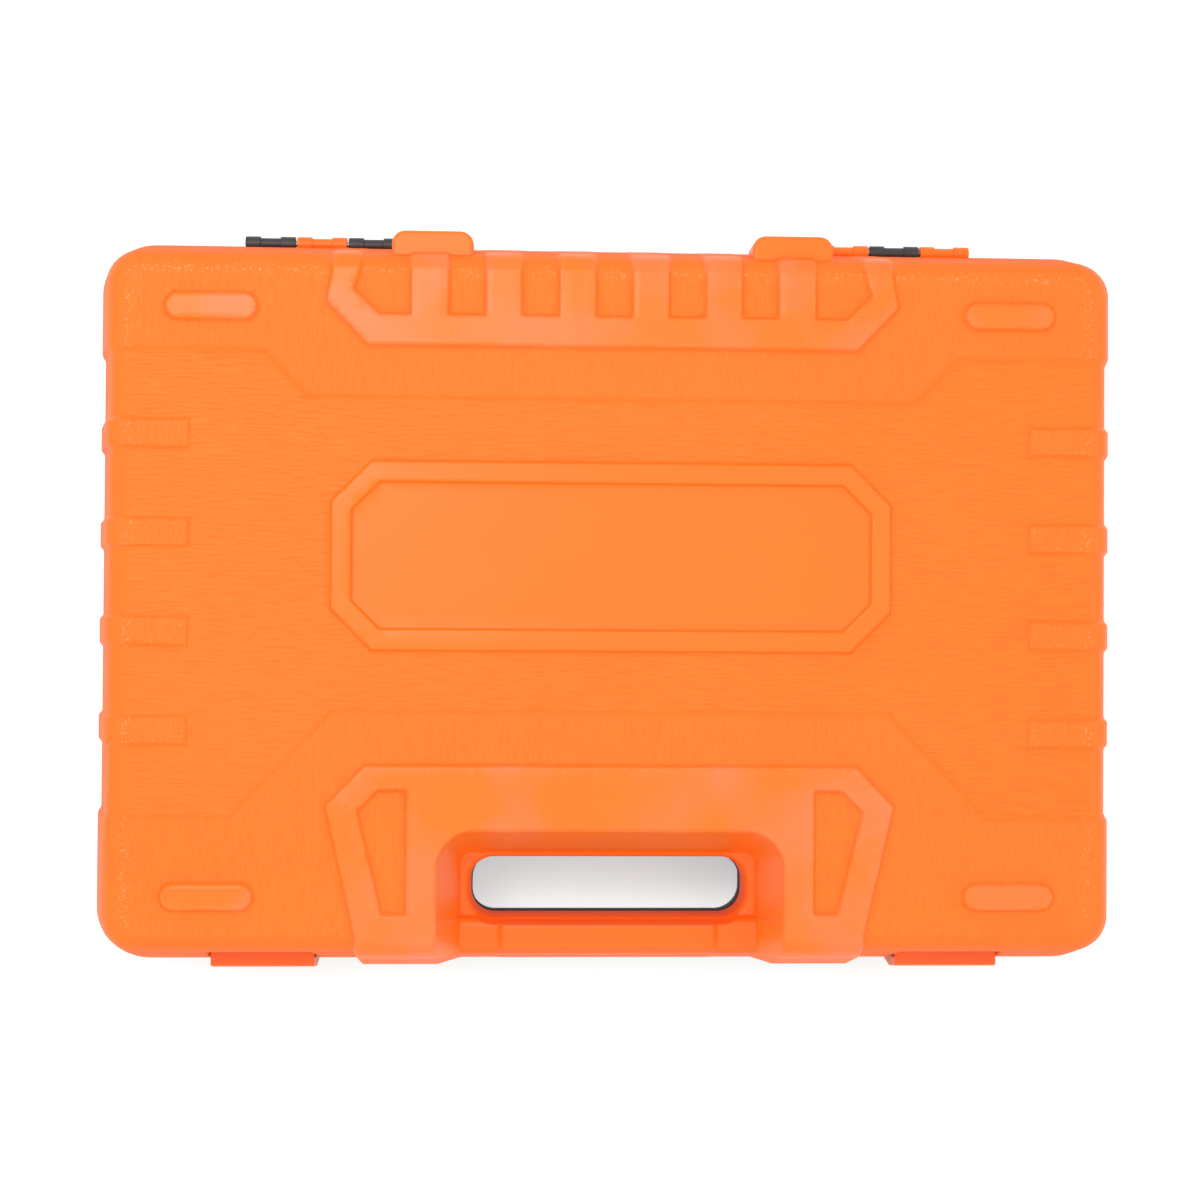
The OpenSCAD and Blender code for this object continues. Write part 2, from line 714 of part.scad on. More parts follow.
module t_bar_head() {
    color("#C9CDD2") translate([tbar_at[0] + tbar_l / 2, tbar_at[1], axis_z]) difference() {
        union() {
            translate([0, 0, -6]) cylinder(r = 6.4, h = 12);
            translate([0, 0, -14]) square_bar(small_sq - 0.1, 10);
        }
        rotate([0, 90, 0]) cylinder(r = 3.2 + run, h = 30, center = true);
    }
}

module spinner_grip() {
    color("#2B2B2D") lying_x(spinner_at) difference() {
        rotate_extrude() polygon([[0, 0], [9, 0], [12, 4], [12, 60], [8.5, 72], [9.5, 80], [0, 80]]);
        translate([0, 0, 40]) cylinder(r = 4, h = 60);
    }
}

module spinner_shank() {
    color("#C9CDD2") lying_x(spinner_at) {
        translate([0, 0, 40]) cylinder(r = 4, h = 99);
        translate([0, 0, 128]) cylinder(r = 5.8, h = 12);
        translate([0, 0, 139]) square_bar(small_sq - 0.1, 10);
    }
}

module flexible_extension() {
    color("#B4B8BD") lying_x(flex_at) {
        difference() {
            cylinder(r = 6, h = 18);
            translate([0, 0, -1]) square_bar(small_sq + 0.15, 9);
        }
        translate([0, 0, 18]) cylinder(r = 4, h = 108);
        for (i = [0:25]) translate([0, 0, 20 + i * 4]) cylinder(r = 4.5, h = 2.4);
        translate([0, 0, 126]) cylinder(r = 6, h = 14);
        translate([0, 0, 139]) square_bar(small_sq - 0.1, 10);
    }
}

module bit_holder() {
    color("#C9CDD2") lying_x(holder_at) difference() {
        union() {
            cylinder(r = small_sq / sqrt(3), h = 30, $fn = 6);
            translate([0, 0, 26]) cylinder(r = 5.5, h = 34);
        }
        translate([0, 0, 48]) cylinder(r = small_sq / sqrt(3) + 0.1, h = 20, $fn = 6);
    }
}

/* bits stand in their racks */

module at_holes(r) {
    for (i = [0:r[2] - 1], j = [0:r[3] - 1])
        translate([r[0] + (i - (r[2] - 1) / 2) * r[4], r[1] + (j - (r[3] - 1) / 2) * r[4], tray_z]) children();
}

module bit_racks() {
    color("#2B2B2D") for (r = racks) difference() {
        translate([r[0] - r[2] * r[4] / 2 - 1, r[1] - r[3] * r[4] / 2 - 1, tray_z - rack_h])
            cube([r[2] * r[4] + 2, r[3] * r[4] + 2, rack_h + 1]);
        at_holes(r) translate([0, 0, -r[6]]) cylinder(r = r[5], h = 40);
    }
}

// Hexagon bit with a necked round tip, standing at the bottom of its hole
module bit(af, l, depth) {
    translate([0, 0, -depth]) {
        cylinder(r = af / sqrt(3), h = l * 0.6, $fn = 6);
        cylinder(r = af * 0.38, h = l * 0.8);
        cylinder(r = af * 0.3, h = l);
    }
}

module large_bits() color("#9FA3A8") for (i = [0, 1]) at_holes(racks[i]) bit(8, 30, racks[i][6]);
module small_bits() color("#9FA3A8") for (i = [2, 3]) at_holes(racks[i]) bit(small_sq, 25, racks[i][6]);

/* ---------- what is drawn ---------- */

base_shell();
base_tray();
lid_shell();
lid_liner();
mirror([1, 0, 0]) latch();  // latch_left
latch();  // latch_right
mirror([1, 0, 0]) latch_pin();  // latch_pin_left
latch_pin();  // latch_pin_right
mirror([1, 0, 0]) hinge_pin();  // hinge_pin_left
hinge_pin();  // hinge_pin_right
bit_racks();
color("#C9CDD2") ratchet_place(ratchet_at) ratchet_body(1);  // large_ratchet_body
color("#2B2B2D") ratchet_place(ratchet_at) ratchet_grip(1);  // large_ratchet_grip
color("#B4B8BD") ratchet_place(ratchet_at) ratchet_drive(1, large_sq);  // large_ratchet_drive
color("#B4B8BD") ratchet_place(ratchet_at) ratchet_plate(1);  // large_ratchet_plate
color("#8C9096") ratchet_place(ratchet_at) ratchet_pawl();  // large_ratchet_pawl
color("#8C9096") ratchet_place(ratchet_at) ratchet_lever(1);  // large_ratchet_lever
color("#8C9096") ratchet_place(ratchet_at) ratchet_button(1);  // large_ratchet_button
color("#C9CDD2") ratchet_place(small_ratchet_at) ratchet_body(small_ratchet_k);  // small_ratchet_body
color("#2B2B2D") ratchet_place(small_ratchet_at) ratchet_grip(small_ratchet_k);  // small_ratchet_grip
color("#B4B8BD") ratchet_place(small_ratchet_at) ratchet_drive(small_ratchet_k, small_sq);  // small_ratchet_drive
color("#B4B8BD") ratchet_place(small_ratchet_at) ratchet_plate(small_ratchet_k);  // small_ratchet_plate
color("#8C9096") ratchet_place(small_ratchet_at) ratchet_lever(small_ratchet_k);  // small_ratchet_lever
color("#8C9096") ratchet_place(small_ratchet_at) ratchet_button(small_ratchet_k);  // small_ratchet_button
for (size = [10, 11, 12, 13, 14, 15, 16, 17, 18, 19, 20, 21, 22, 24, 27, 30, 32])
    socket_of_size(size);
spark_plug_sockets();
large_extension();
large_joint_socket();
large_joint_cross();
large_joint_drive();
bit_adapter();
small_row(row_small, small_x0, small_gap, small_y, small_socket_l);  // small_sockets
small_row(row_deep, deep_x0, deep_gap, deep_y, deep_l);  // deep_sockets
small_row(row_star, star_x0, star_gap, small_y, small_socket_l, true);  // star_sockets
small_extensions();
small_joint();
t_bar();
t_bar_head();
spinner_grip();
spinner_shank();
flexible_extension();
bit_holder();
large_bits();
small_bits();
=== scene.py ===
# Socket wrench set in a hinged carry case: an orange lid on a black base, with the tools in their tray.
import functools
import json
import math

import bmesh
import bpy
import numpy as np
from mathutils import Matrix, Vector


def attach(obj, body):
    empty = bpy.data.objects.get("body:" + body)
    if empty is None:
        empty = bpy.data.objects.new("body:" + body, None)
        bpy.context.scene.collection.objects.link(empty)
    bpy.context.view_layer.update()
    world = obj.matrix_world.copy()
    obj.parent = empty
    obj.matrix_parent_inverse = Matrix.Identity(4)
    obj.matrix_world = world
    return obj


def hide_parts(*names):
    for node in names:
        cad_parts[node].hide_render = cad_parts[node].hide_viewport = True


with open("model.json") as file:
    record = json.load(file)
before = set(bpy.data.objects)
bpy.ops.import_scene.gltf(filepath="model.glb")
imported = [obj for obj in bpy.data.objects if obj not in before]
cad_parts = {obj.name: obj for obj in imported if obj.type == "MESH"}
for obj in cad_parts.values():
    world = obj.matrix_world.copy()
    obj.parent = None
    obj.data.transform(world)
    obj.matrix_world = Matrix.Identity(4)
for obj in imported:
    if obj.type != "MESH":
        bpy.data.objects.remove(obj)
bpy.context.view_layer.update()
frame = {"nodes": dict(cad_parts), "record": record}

MM = 0.001
# outlines that run off the sheet end this far out
FAR = 400.0

# ---------- the case, in millimetres from the parting plane and the middle of the case ----------

# height of the parting plane over the table, half width, half depth, corner radius, roll radius, face height
PARTING = 36.0
SIDE, FRONT = 193.0, 136.3
CORNER, ROLL, FACE = 19.5, 8.0, 32.0
LEAN = math.radians(14)
# the rim: its height, the rounding of its outer edge, its width, and the ledge inside it
RIM, RIM_EASE, LIP, LEDGE = 0.15, 0.8, 2.0, 3.05
# the flat sheet that is folded over: a core rectangle with round corners of radius SHEET_R around it
TURN = math.pi / 2 - LEAN
FLAT_R = CORNER - (FACE - ROLL) * math.tan(LEAN) - ROLL / math.cos(LEAN)
CORE_X, CORE_Y = SIDE - CORNER, FRONT - CORNER
WALL_RUN = (FACE - ROLL * (1 - math.sin(LEAN)) - RIM) / math.cos(LEAN)
SHEET_R = FLAT_R + ROLL * TURN + WALL_RUN

# how far the raised parts stand up from the face, and out from the walls
FIELD_LIFT, PANEL_LIFT, PAD_LIFT, BAND_LIFT = 1.5, 2.5, 2.5, 2.0
FIELD_PROUD, BOSS_PROUD = 1.3, 2.6
# width of their steps, in plan
FIELD_STEP, PANEL_STEP, BAND_STEP, RIB_STEP = 3.2, 2.2, 1.5, 2.2

# outlines of the raised parts on the sheet, right half
REAR_FIELD = [(-FAR, 75.2), (113, 75.2), (129, 92), (FAR, 92), (FAR, FAR), (-FAR, FAR)]
FRONT_FIELD = [(-FAR, -40.8), (103, -40.8), (140, -79.6), (FAR, -79.6), (FAR, -FAR), (-FAR, -FAR)]
RIBS = [[(156, y - 5.2), (FAR, y - 5.2), (FAR, y + 5.2), (156, y + 5.2)] for y in (61.2, 24.8, -11.6, -48)]
COMB = [(-FAR, 94), (90.7, 94), (106.3, 110.2), (104, 122), (104, FAR), (-FAR, FAR)]
COMB_WINDOWS = [[(x - 6.6, 105.8), (x + 6.6, 105.8), (x + 6.6, FAR), (x - 6.6, FAR)] for x in (0, 27.2, 54.4)]
COMB_WINDOWS.append([(75.3, 105.8), (86.5, 105.8), (95.8, 114.6), (93.4, 122), (93.4, FAR), (75.3, FAR)])
BLOCK = [(-FAR, -60.3), (91, -60.3), (105.2, -75.2), (94, -124), (94, -FAR), (-FAR, -FAR)]
BLOCK_WINDOW = [(75.5, -69.5), (85.5, -69.5), (93.2, -77.3), (90, -90), (84, -114.8), (75.5, -114.8)]
PLATE = [(-FAR, 51.8), (88.8, 51.8), (103.8, 36.8), (103.8, -3.2), (88.8, -18.2), (-FAR, -18.2)]
PLATE_PANEL = [(-FAR, 43.9), (85.9, 43.9), (96.3, 33.5), (96.3, 0.1), (85.9, -10.3), (-FAR, -10.3)]
PADS = [((136.1, y), (159.9, y)) for y in (107.8, -108.6)]
PAD_R = 5.0

# the handle: recess, finger slot and grip bar
RECESS_X, RECESS_Y, RECESS_R, RECESS_FLOOR = 65.1, -83.2, 15.0, 14.0
SIDE_RUN, REAR_RUN = 10.1, 11.9
SLOT_X, SLOT_FRONT, SLOT_REAR, SLOT_R, SLOT_EDGE = 51.3, -118.0, -96.8, 8.5, 2.0
BAR_TOP, BAR_FRONT, BAR_EDGE, BAR_RISE, BAR_ROLL = 20.0, -136.4, -118.3, 4.4, 5.0
BAR_STEP_X, BAR_STEP_DROP, BAR_STEP_RUN = 40.5, 2.0, 3.2
# height and offset of the slot's wall, row by row down from its thick lip; the last two rows differ
SLOT_WALL = [(13.6, 1.4), (12.8, 0.9), (11.5, 0.6), (6.0, 0.4)]
LID_SLOT_FOOT = [(RIM + 0.8, 0.25), (RIM, 0.8)]
BASE_SLOT_FOOT = [(RIM + 0.5, 0.0), (RIM, 0.35)]

# the latches and their notches, catch beads and lugs
LATCH_IN, LATCH_OUT = 110.7, 149.6
NOTCH_IN, NOTCH_OUT, NOTCH_Y, NOTCH_SLOPE, NOTCH_DEPTH = 110.1, 150.2, -131.2, 3.2, 12
BEAD_X, BEAD_HALF = 130, 18
LATCH_LUG_X, LATCH_LUG_HALF = (-153.1, -107.2, 107.2, 153.1), 2.7

# the hinges, and the zone across the case that they take up
HINGE_Y, LUG_R, LUG_LENGTH, SLEEVE_STEP, RELIEF_R = 137.6, 2.69, 5.8, 0.6, 3.4
KNUCKLE_PITCH, KNUCKLE_START, KNUCKLE_GAP = 19.7, 140.4, 0.3
HINGE_IN, HINGE_OUT, HINGE_RIM = 60.0, 142.0, 130.7
TAB_X, TAB_HALF, TAB_FRONT, TAB_REAR, TAB_LOW, TAB_HIGH = 67.4, 15.2, 122.0, 138.0, 11.0, 29.0
TAB_R, TAB_EASE = 5, 1.6

# the hollow over the tools, which goes around the handle; its top in each half
WELL_X, WELL_FRONT, WELL_REAR, WELL_R = 190.4, -129.0, 129.7, 12
WELL_HANDLE_X, WELL_HANDLE_Y = 71.8, -79.3
WELL_TOP_FRONT, WELL_TOP_REAR = -127.6, 127.7
LID_WELL, BASE_WELL = 25.7, 28.2


def knuckle_x(i):
    return KNUCKLE_START - KNUCKLE_PITCH * (i + 0.5)


OWN_KNUCKLES = [knuckle_x(0), knuckle_x(2), -knuckle_x(1), -knuckle_x(3)]
OTHER_KNUCKLES = [-x for x in OWN_KNUCKLES]


# ---------- shape helpers ----------


def ramp(t, ease=1 / 3):
    """0 to 1 as t goes from 0 to 1: straight in the middle, eased at both ends."""
    t = np.clip(t, 0, 1)
    rise = 1 / (1 - ease)
    end = 1 - (1 - t) ** 2 * rise / (2 * ease)
    return np.where(t < ease, t * t * rise / (2 * ease), np.where(t > 1 - ease, end, (t - ease / 2) * rise))


def depth_in(outline, x, y):
    """How deep each point lies inside an outline, in mm; outside it is negative."""
    nearest = np.full(x.shape, 1e9)
    inside = np.zeros(x.shape, bool)
    for (ax, ay), (bx, by) in zip(outline, outline[1:] + outline[:1]):
        ex, ey = bx - ax, by - ay
        t = np.clip(((x - ax) * ex + (y - ay) * ey) / (ex * ex + ey * ey), 0, 1)
        nearest = np.minimum(nearest, np.hypot(x - ax - ex * t, y - ay - ey * t))
        if ey:
            inside ^= ((ay > y) != (by > y)) & (x < ax + ex * (y - ay) / ey)
    return np.where(inside, nearest, -nearest)


def depth_in_pad(ends, x, y):
    (ax, ay), (bx, _) = ends
    return PAD_R - np.hypot(x - np.clip(x, ax, bx), y - ay)


def recess_share(x, y):
    """How far down the handle recess's slope each point is: 0 at its top edge, 1 at its foot."""
    px, py = np.abs(x) - RECESS_X + RECESS_R, y - RECESS_Y + RECESS_R
    away = np.hypot(np.maximum(px, 0), np.maximum(py, 0))
    depth = RECESS_R - away - np.minimum(np.maximum(px, py), 0)
    rearward = (np.maximum(py, 0) / np.maximum(away, 1e-6)) ** 2
    return depth / (SIDE_RUN + (REAR_RUN - SIDE_RUN) * rearward)


def step(depth, width):
    return ramp(depth / width + 0.5)


def soft_max(a, b, blend):
    return (a + b + np.sqrt((a - b) ** 2 + blend**2)) / 2


# ---------- the developed sheet of one half: cut flat, then folded over the case's form ----------


def once(items):
    """Each item once, in the order they come, so that every run builds the same mesh."""
    return list(dict.fromkeys(items))


def cut(bm, faces, at, across):
    """Cuts faces along the line through a point, square to a direction; returns what they became."""
    geom = once(v for f in faces for v in f.verts) + once(e for f in faces for e in f.edges) + faces
    done = bmesh.ops.bisect_plane(bm, geom=geom, dist=0.02, plane_co=(*at, 0), plane_no=(*across, 0))
    return [g for g in done["geom"] if isinstance(g, bmesh.types.BMFace)]


def faces_near(bm, a, b, reach):
    run = b - a
    found = []
    for f in bm.faces:
        c = f.calc_center_median().xy - a
        if (c - run * min(max(c.dot(run) / run.length_squared, 0), 1)).length < reach:
            found.append(f)
    return found


def faces_within(bm, x0, x1, y0, y1):
    centres = ((f, f.calc_center_median()) for f in bm.faces)
    return [f for f, c in centres if x0 < c.x < x1 and y0 < c.y < y1]


def cut_along(bm, points, offsets, reach, closed=False):
    """Cuts the sheet beside each stretch of a line of points, at each offset from it."""
    ends = points[1:] + points[:1] if closed else points[1:]
    for a, b in zip(points, ends):
        if max(a[0], b[0]) < 0 or any(abs(a[i]) >= FAR and abs(b[i]) >= FAR for i in (0, 1)):
            continue
        a, b = Vector(a), Vector(b)
        across = (b - a).orthogonal().normalized()
        faces = faces_near(bm, a, b, reach)
        for off in offsets:
            if faces:
                faces = cut(bm, faces, a + across * off, across)


def arc(cx, cy, r, start, end, count):
    return [(cx + r * math.cos(math.radians(start + (end - start) * i / count)),
             cy + r * math.sin(math.radians(start + (end - start) * i / count))) for i in range(count + 1)]


def step_offsets(width):
    return [-width / 2, -width / 6, width / 6, width / 2]


def bare_sheet():
    """The right half of the flat sheet, with its round corners."""
    bm = bmesh.new()
    bmesh.ops.create_grid(bm, x_segments=1, y_segments=1, size=1)
    bmesh.ops.translate(bm, verts=bm.verts, vec=(1, 0, 0))
    bmesh.ops.scale(bm, verts=bm.verts, vec=((CORE_X + SHEET_R) / 2, CORE_Y + SHEET_R, 1))
    corners = [v for v in bm.verts if v.co.x > 1]
    bmesh.ops.bevel(bm, geom=corners, affect="VERTICES", offset=SHEET_R, offset_type="OFFSET", segments=24,
                    profile=0.5, material=-1)
    return bm


def cut_squares(bm):
    """Coarse squares over the middle, and fine ones from just inside the corners out to the rim."""
    fine, coarse = 2.4, 5.0
    edge_x, edge_y = CORE_X - 8, CORE_Y - 6
    columns, rows = round(edge_x / coarse), round(edge_y * 2 / coarse)
    upright = [edge_x * i / columns for i in range(1, columns)]
    upright += [edge_x + fine * i for i in range(int((CORE_X + SHEET_R - edge_x) / fine) + 1)]
    crosswise = [-edge_y + 2 * edge_y * i / rows for i in range(1, rows)]
    for i in range(int((CORE_Y + SHEET_R - edge_y) / fine) + 1):
        crosswise += [edge_y + fine * i, -edge_y - fine * i]
    for x in upright:
        cut(bm, bm.faces[:], (x, 0), (1, 0))
    for y in crosswise:
        cut(bm, bm.faces[:], (0, y), (0, 1))


def cut_roll_and_rim(bm):
    """Edges where the roll starts and ends, and two rows beside the rim."""
    for s in (0, ROLL * TURN, SHEET_R - FLAT_R - RIM_EASE, SHEET_R - FLAT_R - RIM_EASE / 2):
        x, y = CORE_X + FLAT_R + s, CORE_Y + FLAT_R + s
        cut_along(bm, [(x, -CORE_Y), (x, CORE_Y)], [0], 3)
        for side in (-1, 1):
            cut_along(bm, [(0, y * side), (CORE_X, y * side)], [0], 3)
            start = 0 if side > 0 else -90
            cut_along(bm, arc(CORE_X, CORE_Y * side, FLAT_R + s, start, start + 90, 8), [0], 2.6)


def cut_recess_squares(bm):
    """Finer squares where the handle recess falls."""
    upright = faces_within(bm, 36, 70, -164, -78)
    for i in range(18):
        upright = cut(bm, upright, (36 + 2 * i, 0), (1, 0))
    crosswise = faces_within(bm, -1, 70, -136, -80)
    for i in range(36):
        crosswise = cut(bm, crosswise, (0, -136 + 1.6 * i), (0, 1))


def cut_steps(bm):
    """Edges at the foot, on the slope and at the top of every raised part's step."""
    stepped = [(REAR_FIELD, FIELD_STEP), (FRONT_FIELD, FIELD_STEP), (COMB, PANEL_STEP), (BLOCK, PANEL_STEP),
               (BLOCK_WINDOW, PANEL_STEP), (PLATE, BAND_STEP), (PLATE_PANEL, BAND_STEP)]
    stepped += [(window, PANEL_STEP) for window in COMB_WINDOWS] + [(rib, RIB_STEP) for rib in RIBS]
    for outline, width in stepped:
        cut_along(bm, outline, step_offsets(width), 4.4, closed=True)
    offsets = step_offsets(PANEL_STEP)
    for (ax, ay), (bx, _) in PADS:
        cut_along(bm, [(ax, ay + PAD_R), (bx, ay + PAD_R)], offsets, 4)
        cut_along(bm, [(ax, ay - PAD_R), (bx, ay - PAD_R)], offsets, 4)
        cut_along(bm, arc(ax, ay, PAD_R, 90, 270, 6), offsets, 2.4)
        cut_along(bm, arc(bx, ay, PAD_R, -90, 90, 6), offsets, 2.4)


def cut_handle(bm):
    """Edges at the top and foot of the recess's slope, around the slot and along the grip bar."""
    slope = [-0.2, 0.8, 1.8, SIDE_RUN - 2, SIDE_RUN - 0.8, SIDE_RUN + 0.2]
    cut_along(bm, [(RECESS_X, -FAR), (RECESS_X, RECESS_Y - RECESS_R)], slope, 12)
    cut_along(bm, [(RECESS_X - RECESS_R, RECESS_Y), (0, RECESS_Y)], slope, 12)
    for depth in slope:
        cut_along(bm, arc(RECESS_X - RECESS_R, RECESS_Y - RECESS_R, RECESS_R - depth, 0, 90, 6), [0], 2)
    end, middle, out = SLOT_X - SLOT_R, (SLOT_FRONT + SLOT_REAR) / 2, 20
    turns = [math.radians(t) for t in (-89, *range(-80, 90, 10), 89)]
    ring = [slot_line(end + out * math.cos(t), middle + out * math.sin(t), SLOT_EDGE) for t in turns]
    cut_along(bm, [(0, ring[0][1])] + ring + [(0, ring[-1][1])], [0], 2.4)
    for off in (0, 0.4, 0.9, 1.5, 2.2, 3.2, BAR_RISE):
        cut_along(bm, [(0, BAR_EDGE - off), (RECESS_X, BAR_EDGE - off)], [0], 3)
    cut_along(bm, [(BAR_STEP_X, -120), (BAR_STEP_X, -160)], [-1.6, -0.8, 0, 0.8, 1.6], 3)


def cut_notches_and_hinges(bm):
    """Edges at the sides of the latch notches, at the knuckles' ends and in the hollows beside them."""
    for x in (NOTCH_IN, NOTCH_OUT):
        cut_along(bm, [(x, -124), (x, -170)], [-3.2, -2.4, -1.6, -0.8, 0, 0.8, 1.6, 2.4, 3.2], 5)
    cut_along(bm, [(NOTCH_IN, -134), (NOTCH_OUT, -134)], [-1.2, 0, 1.2], 3)
    for i in range(5):
        x = KNUCKLE_START - KNUCKLE_PITCH * i
        cut_along(bm, [(x, 152), (x, 164)], [-0.3, 0.3], 3)
    for z in (RELIEF_R, 2.8, 1.8):
        y = CORE_Y + SHEET_R - z + RIM
        cut_along(bm, [(HINGE_IN, y), (HINGE_OUT, y)], [0], 3)


def cut_sheet():
    """The whole flat sheet, with an edge wherever the folded surface bends."""
    bm = bare_sheet()
    for cut_part in (cut_squares, cut_roll_and_rim, cut_recess_squares, cut_steps, cut_handle,
                     cut_notches_and_hinges):
        cut_part(bm)
    bmesh.ops.mirror(bm, geom=bm.verts[:] + bm.edges[:] + bm.faces[:], merge_dist=0.01, axis="X")
    bmesh.ops.remove_doubles(bm, verts=bm.verts, dist=0.03)
    return bm


def slot_hub(x, y):
    """The nearest point of the rectangle that the slot's outline runs around, SLOT_R away."""
    return min(max(x, SLOT_R - SLOT_X), SLOT_X - SLOT_R), min(max(y, SLOT_FRONT + SLOT_R), SLOT_REAR - SLOT_R)


def slot_line(x, y, offset):
    """The point nearest to x, y on a line around the slot; the lip is wider at the front and ends."""
    cx, cy = slot_hub(x, y)
    away = Vector((x - cx, y - cy)).normalized()
    away *= SLOT_R + offset * (1.6 - 0.6 * max(away.y, 0) ** 2)
    return cx + away.x, cy + away.y


def over_slot(c):
    """Whether a point of the flat sheet lies over the finger slot."""
    if abs(c.x) >= SLOT_X + 9 or not SLOT_FRONT - 9 < c.y < SLOT_REAR + 9:
        return False
    hub = Vector(slot_hub(c.x, c.y))
    reach = (Vector(slot_line(c.x, c.y, SLOT_EDGE)) - hub).length
    return (c.xy - hub).length < reach - 0.05 or reach < 1


def raised_parts(side, v):
    """For each raised part, how deep a point lies in its outline, and how far up its step it is, 0 to 1."""
    depth = {
        "rear": depth_in(REAR_FIELD, side, v),
        "front": depth_in(FRONT_FIELD, side, v),
        "ribs": np.maximum.reduce([depth_in(r, side, v) for r in RIBS]),
        "comb": np.minimum.reduce([depth_in(COMB, side, v)] + [-depth_in(w, side, v) for w in COMB_WINDOWS]),
        "block": np.minimum(depth_in(BLOCK, side, v), -depth_in(BLOCK_WINDOW, side, v)),
        "plate": depth_in(PLATE, side, v),
        "panel": depth_in(PLATE_PANEL, side, v),
        "pads": np.maximum(depth_in_pad(PADS[0], side, v), depth_in_pad(PADS[1], side, v)),
    }
    width = {"rear": FIELD_STEP, "front": FIELD_STEP, "ribs": RIB_STEP, "comb": PANEL_STEP,
             "block": PANEL_STEP, "plate": BAND_STEP, "panel": BAND_STEP, "pads": PANEL_STEP}
    return depth, {part: step(depth[part], width[part]) for part in depth}


def grip_bar(side, v):
    """Where the recess's floor and the grip bar in front of it lie: how far forward, and how high."""
    over = 1 - np.clip((BAR_EDGE - v) / BAR_RISE, 0, 1)
    rise = np.sqrt(1 - over**2)
    roll_start = BAR_FRONT + (BAR_TOP - BAR_ROLL) * math.tan(LEAN) + BAR_ROLL / math.cos(LEAN)
    roll_end = roll_start - BAR_ROLL * TURN
    bend = np.clip((roll_start - v) / BAR_ROLL, 0, TURN)
    lowered = BAR_STEP_DROP * ramp((side - BAR_STEP_X) / BAR_STEP_RUN + 0.5) * np.cos(bend)
    bar_z = RECESS_FLOOR + (BAR_TOP - RECESS_FLOOR - lowered) * rise - BAR_ROLL * (1 - np.cos(bend))
    foot = np.clip((roll_end - v) / (roll_end + CORE_Y + SHEET_R), 0, 1) * (bar_z - RIM)
    bar_y = np.where(v > roll_start, v, roll_start - BAR_ROLL * np.sin(bend)) - foot * math.tan(LEAN)
    return bar_y, bar_z - foot


def notched(u, v, y, z):
    """Brings the wall in at the latch notches and in the hollows beside the other half's knuckles."""
    side = np.abs(u)
    inner, outer = (side - NOTCH_IN) / NOTCH_SLOPE, (NOTCH_OUT - side) / NOTCH_SLOPE
    inside = ramp(inner + 0.7, 0.45) * ramp(outer + 0.7, 0.45)
    limit = NOTCH_Y - NOTCH_DEPTH * (1 - inside)
    y = np.where((v < -CORE_Y) & (side > 100) & (side < 160), soft_max(y, limit, 0.5), y)
    for kx in OTHER_KNUCKLES:
        hollow = (v > CORE_Y) & (np.abs(u - kx) < KNUCKLE_PITCH / 2 + 0.1) & (z < RELIEF_R)
        y = np.where(hollow, np.minimum(y, HINGE_Y - np.sqrt(np.maximum(RELIEF_R**2 - z**2, 0))), y)
    return y


def surface_zones(depth, up, sink, gone, ny, down):
    """Shares for the finish: streaks across the middle, streaks front to back on the raised fields, none on
    the smooth panels, wear on the edges, a painted sheen on the proud panels, painted shade on the recess's
    floor, and the walls, duller and painted in shade."""
    past = np.maximum(gone - FLAT_R, 0)
    flat = 1 - ramp(past / 3, 0.4)
    low = up["rear"] + up["front"] + up["ribs"]
    raised = np.clip(low, 0, 1)
    proud = up["comb"] + up["block"] + up["pads"]
    smooth = np.clip(proud + sink, 0, 1)
    end_roll = np.clip(np.abs(ny) ** 3, 0, 1) * (1 - 0.5 * ramp(down / 8, 0.4))
    border = np.exp(-(((gone - FLAT_R + 0.4) / 1.3) ** 2)) * raised * (1 - smooth)
    border = border * (1 - 0.85 * np.clip(-ny, 0, 1))
    crest = sum(np.exp(-(((depth[part] - PANEL_STEP / 2) / 0.6) ** 2)) for part in ("comb", "block", "pads"))
    ribs_worn = 0.4 * np.exp(-(((depth["ribs"] - 1.6) / 1.2) ** 2)) * flat
    return {
        "across": flat * (1 - raised) * (1 - up["plate"]) * (1 - smooth),
        "along": raised * (1 - smooth) * np.maximum(flat, end_roll) + (1 - flat) * (1 - raised) * end_roll,
        "rubbed": np.clip(border + 0.3 * crest * (1 - sink) + ribs_worn, 0, 1),
        # painted shade on the recess's floor
        "recess_shade": sink,
        # painted sheen on the proud panels
        "sheen_panels": np.clip(proud, 0, 1) * (1 - sink),
        # the walls: duller, and painted in shade
        "wall": ramp((past - 4) / 12, 0.4),
    }


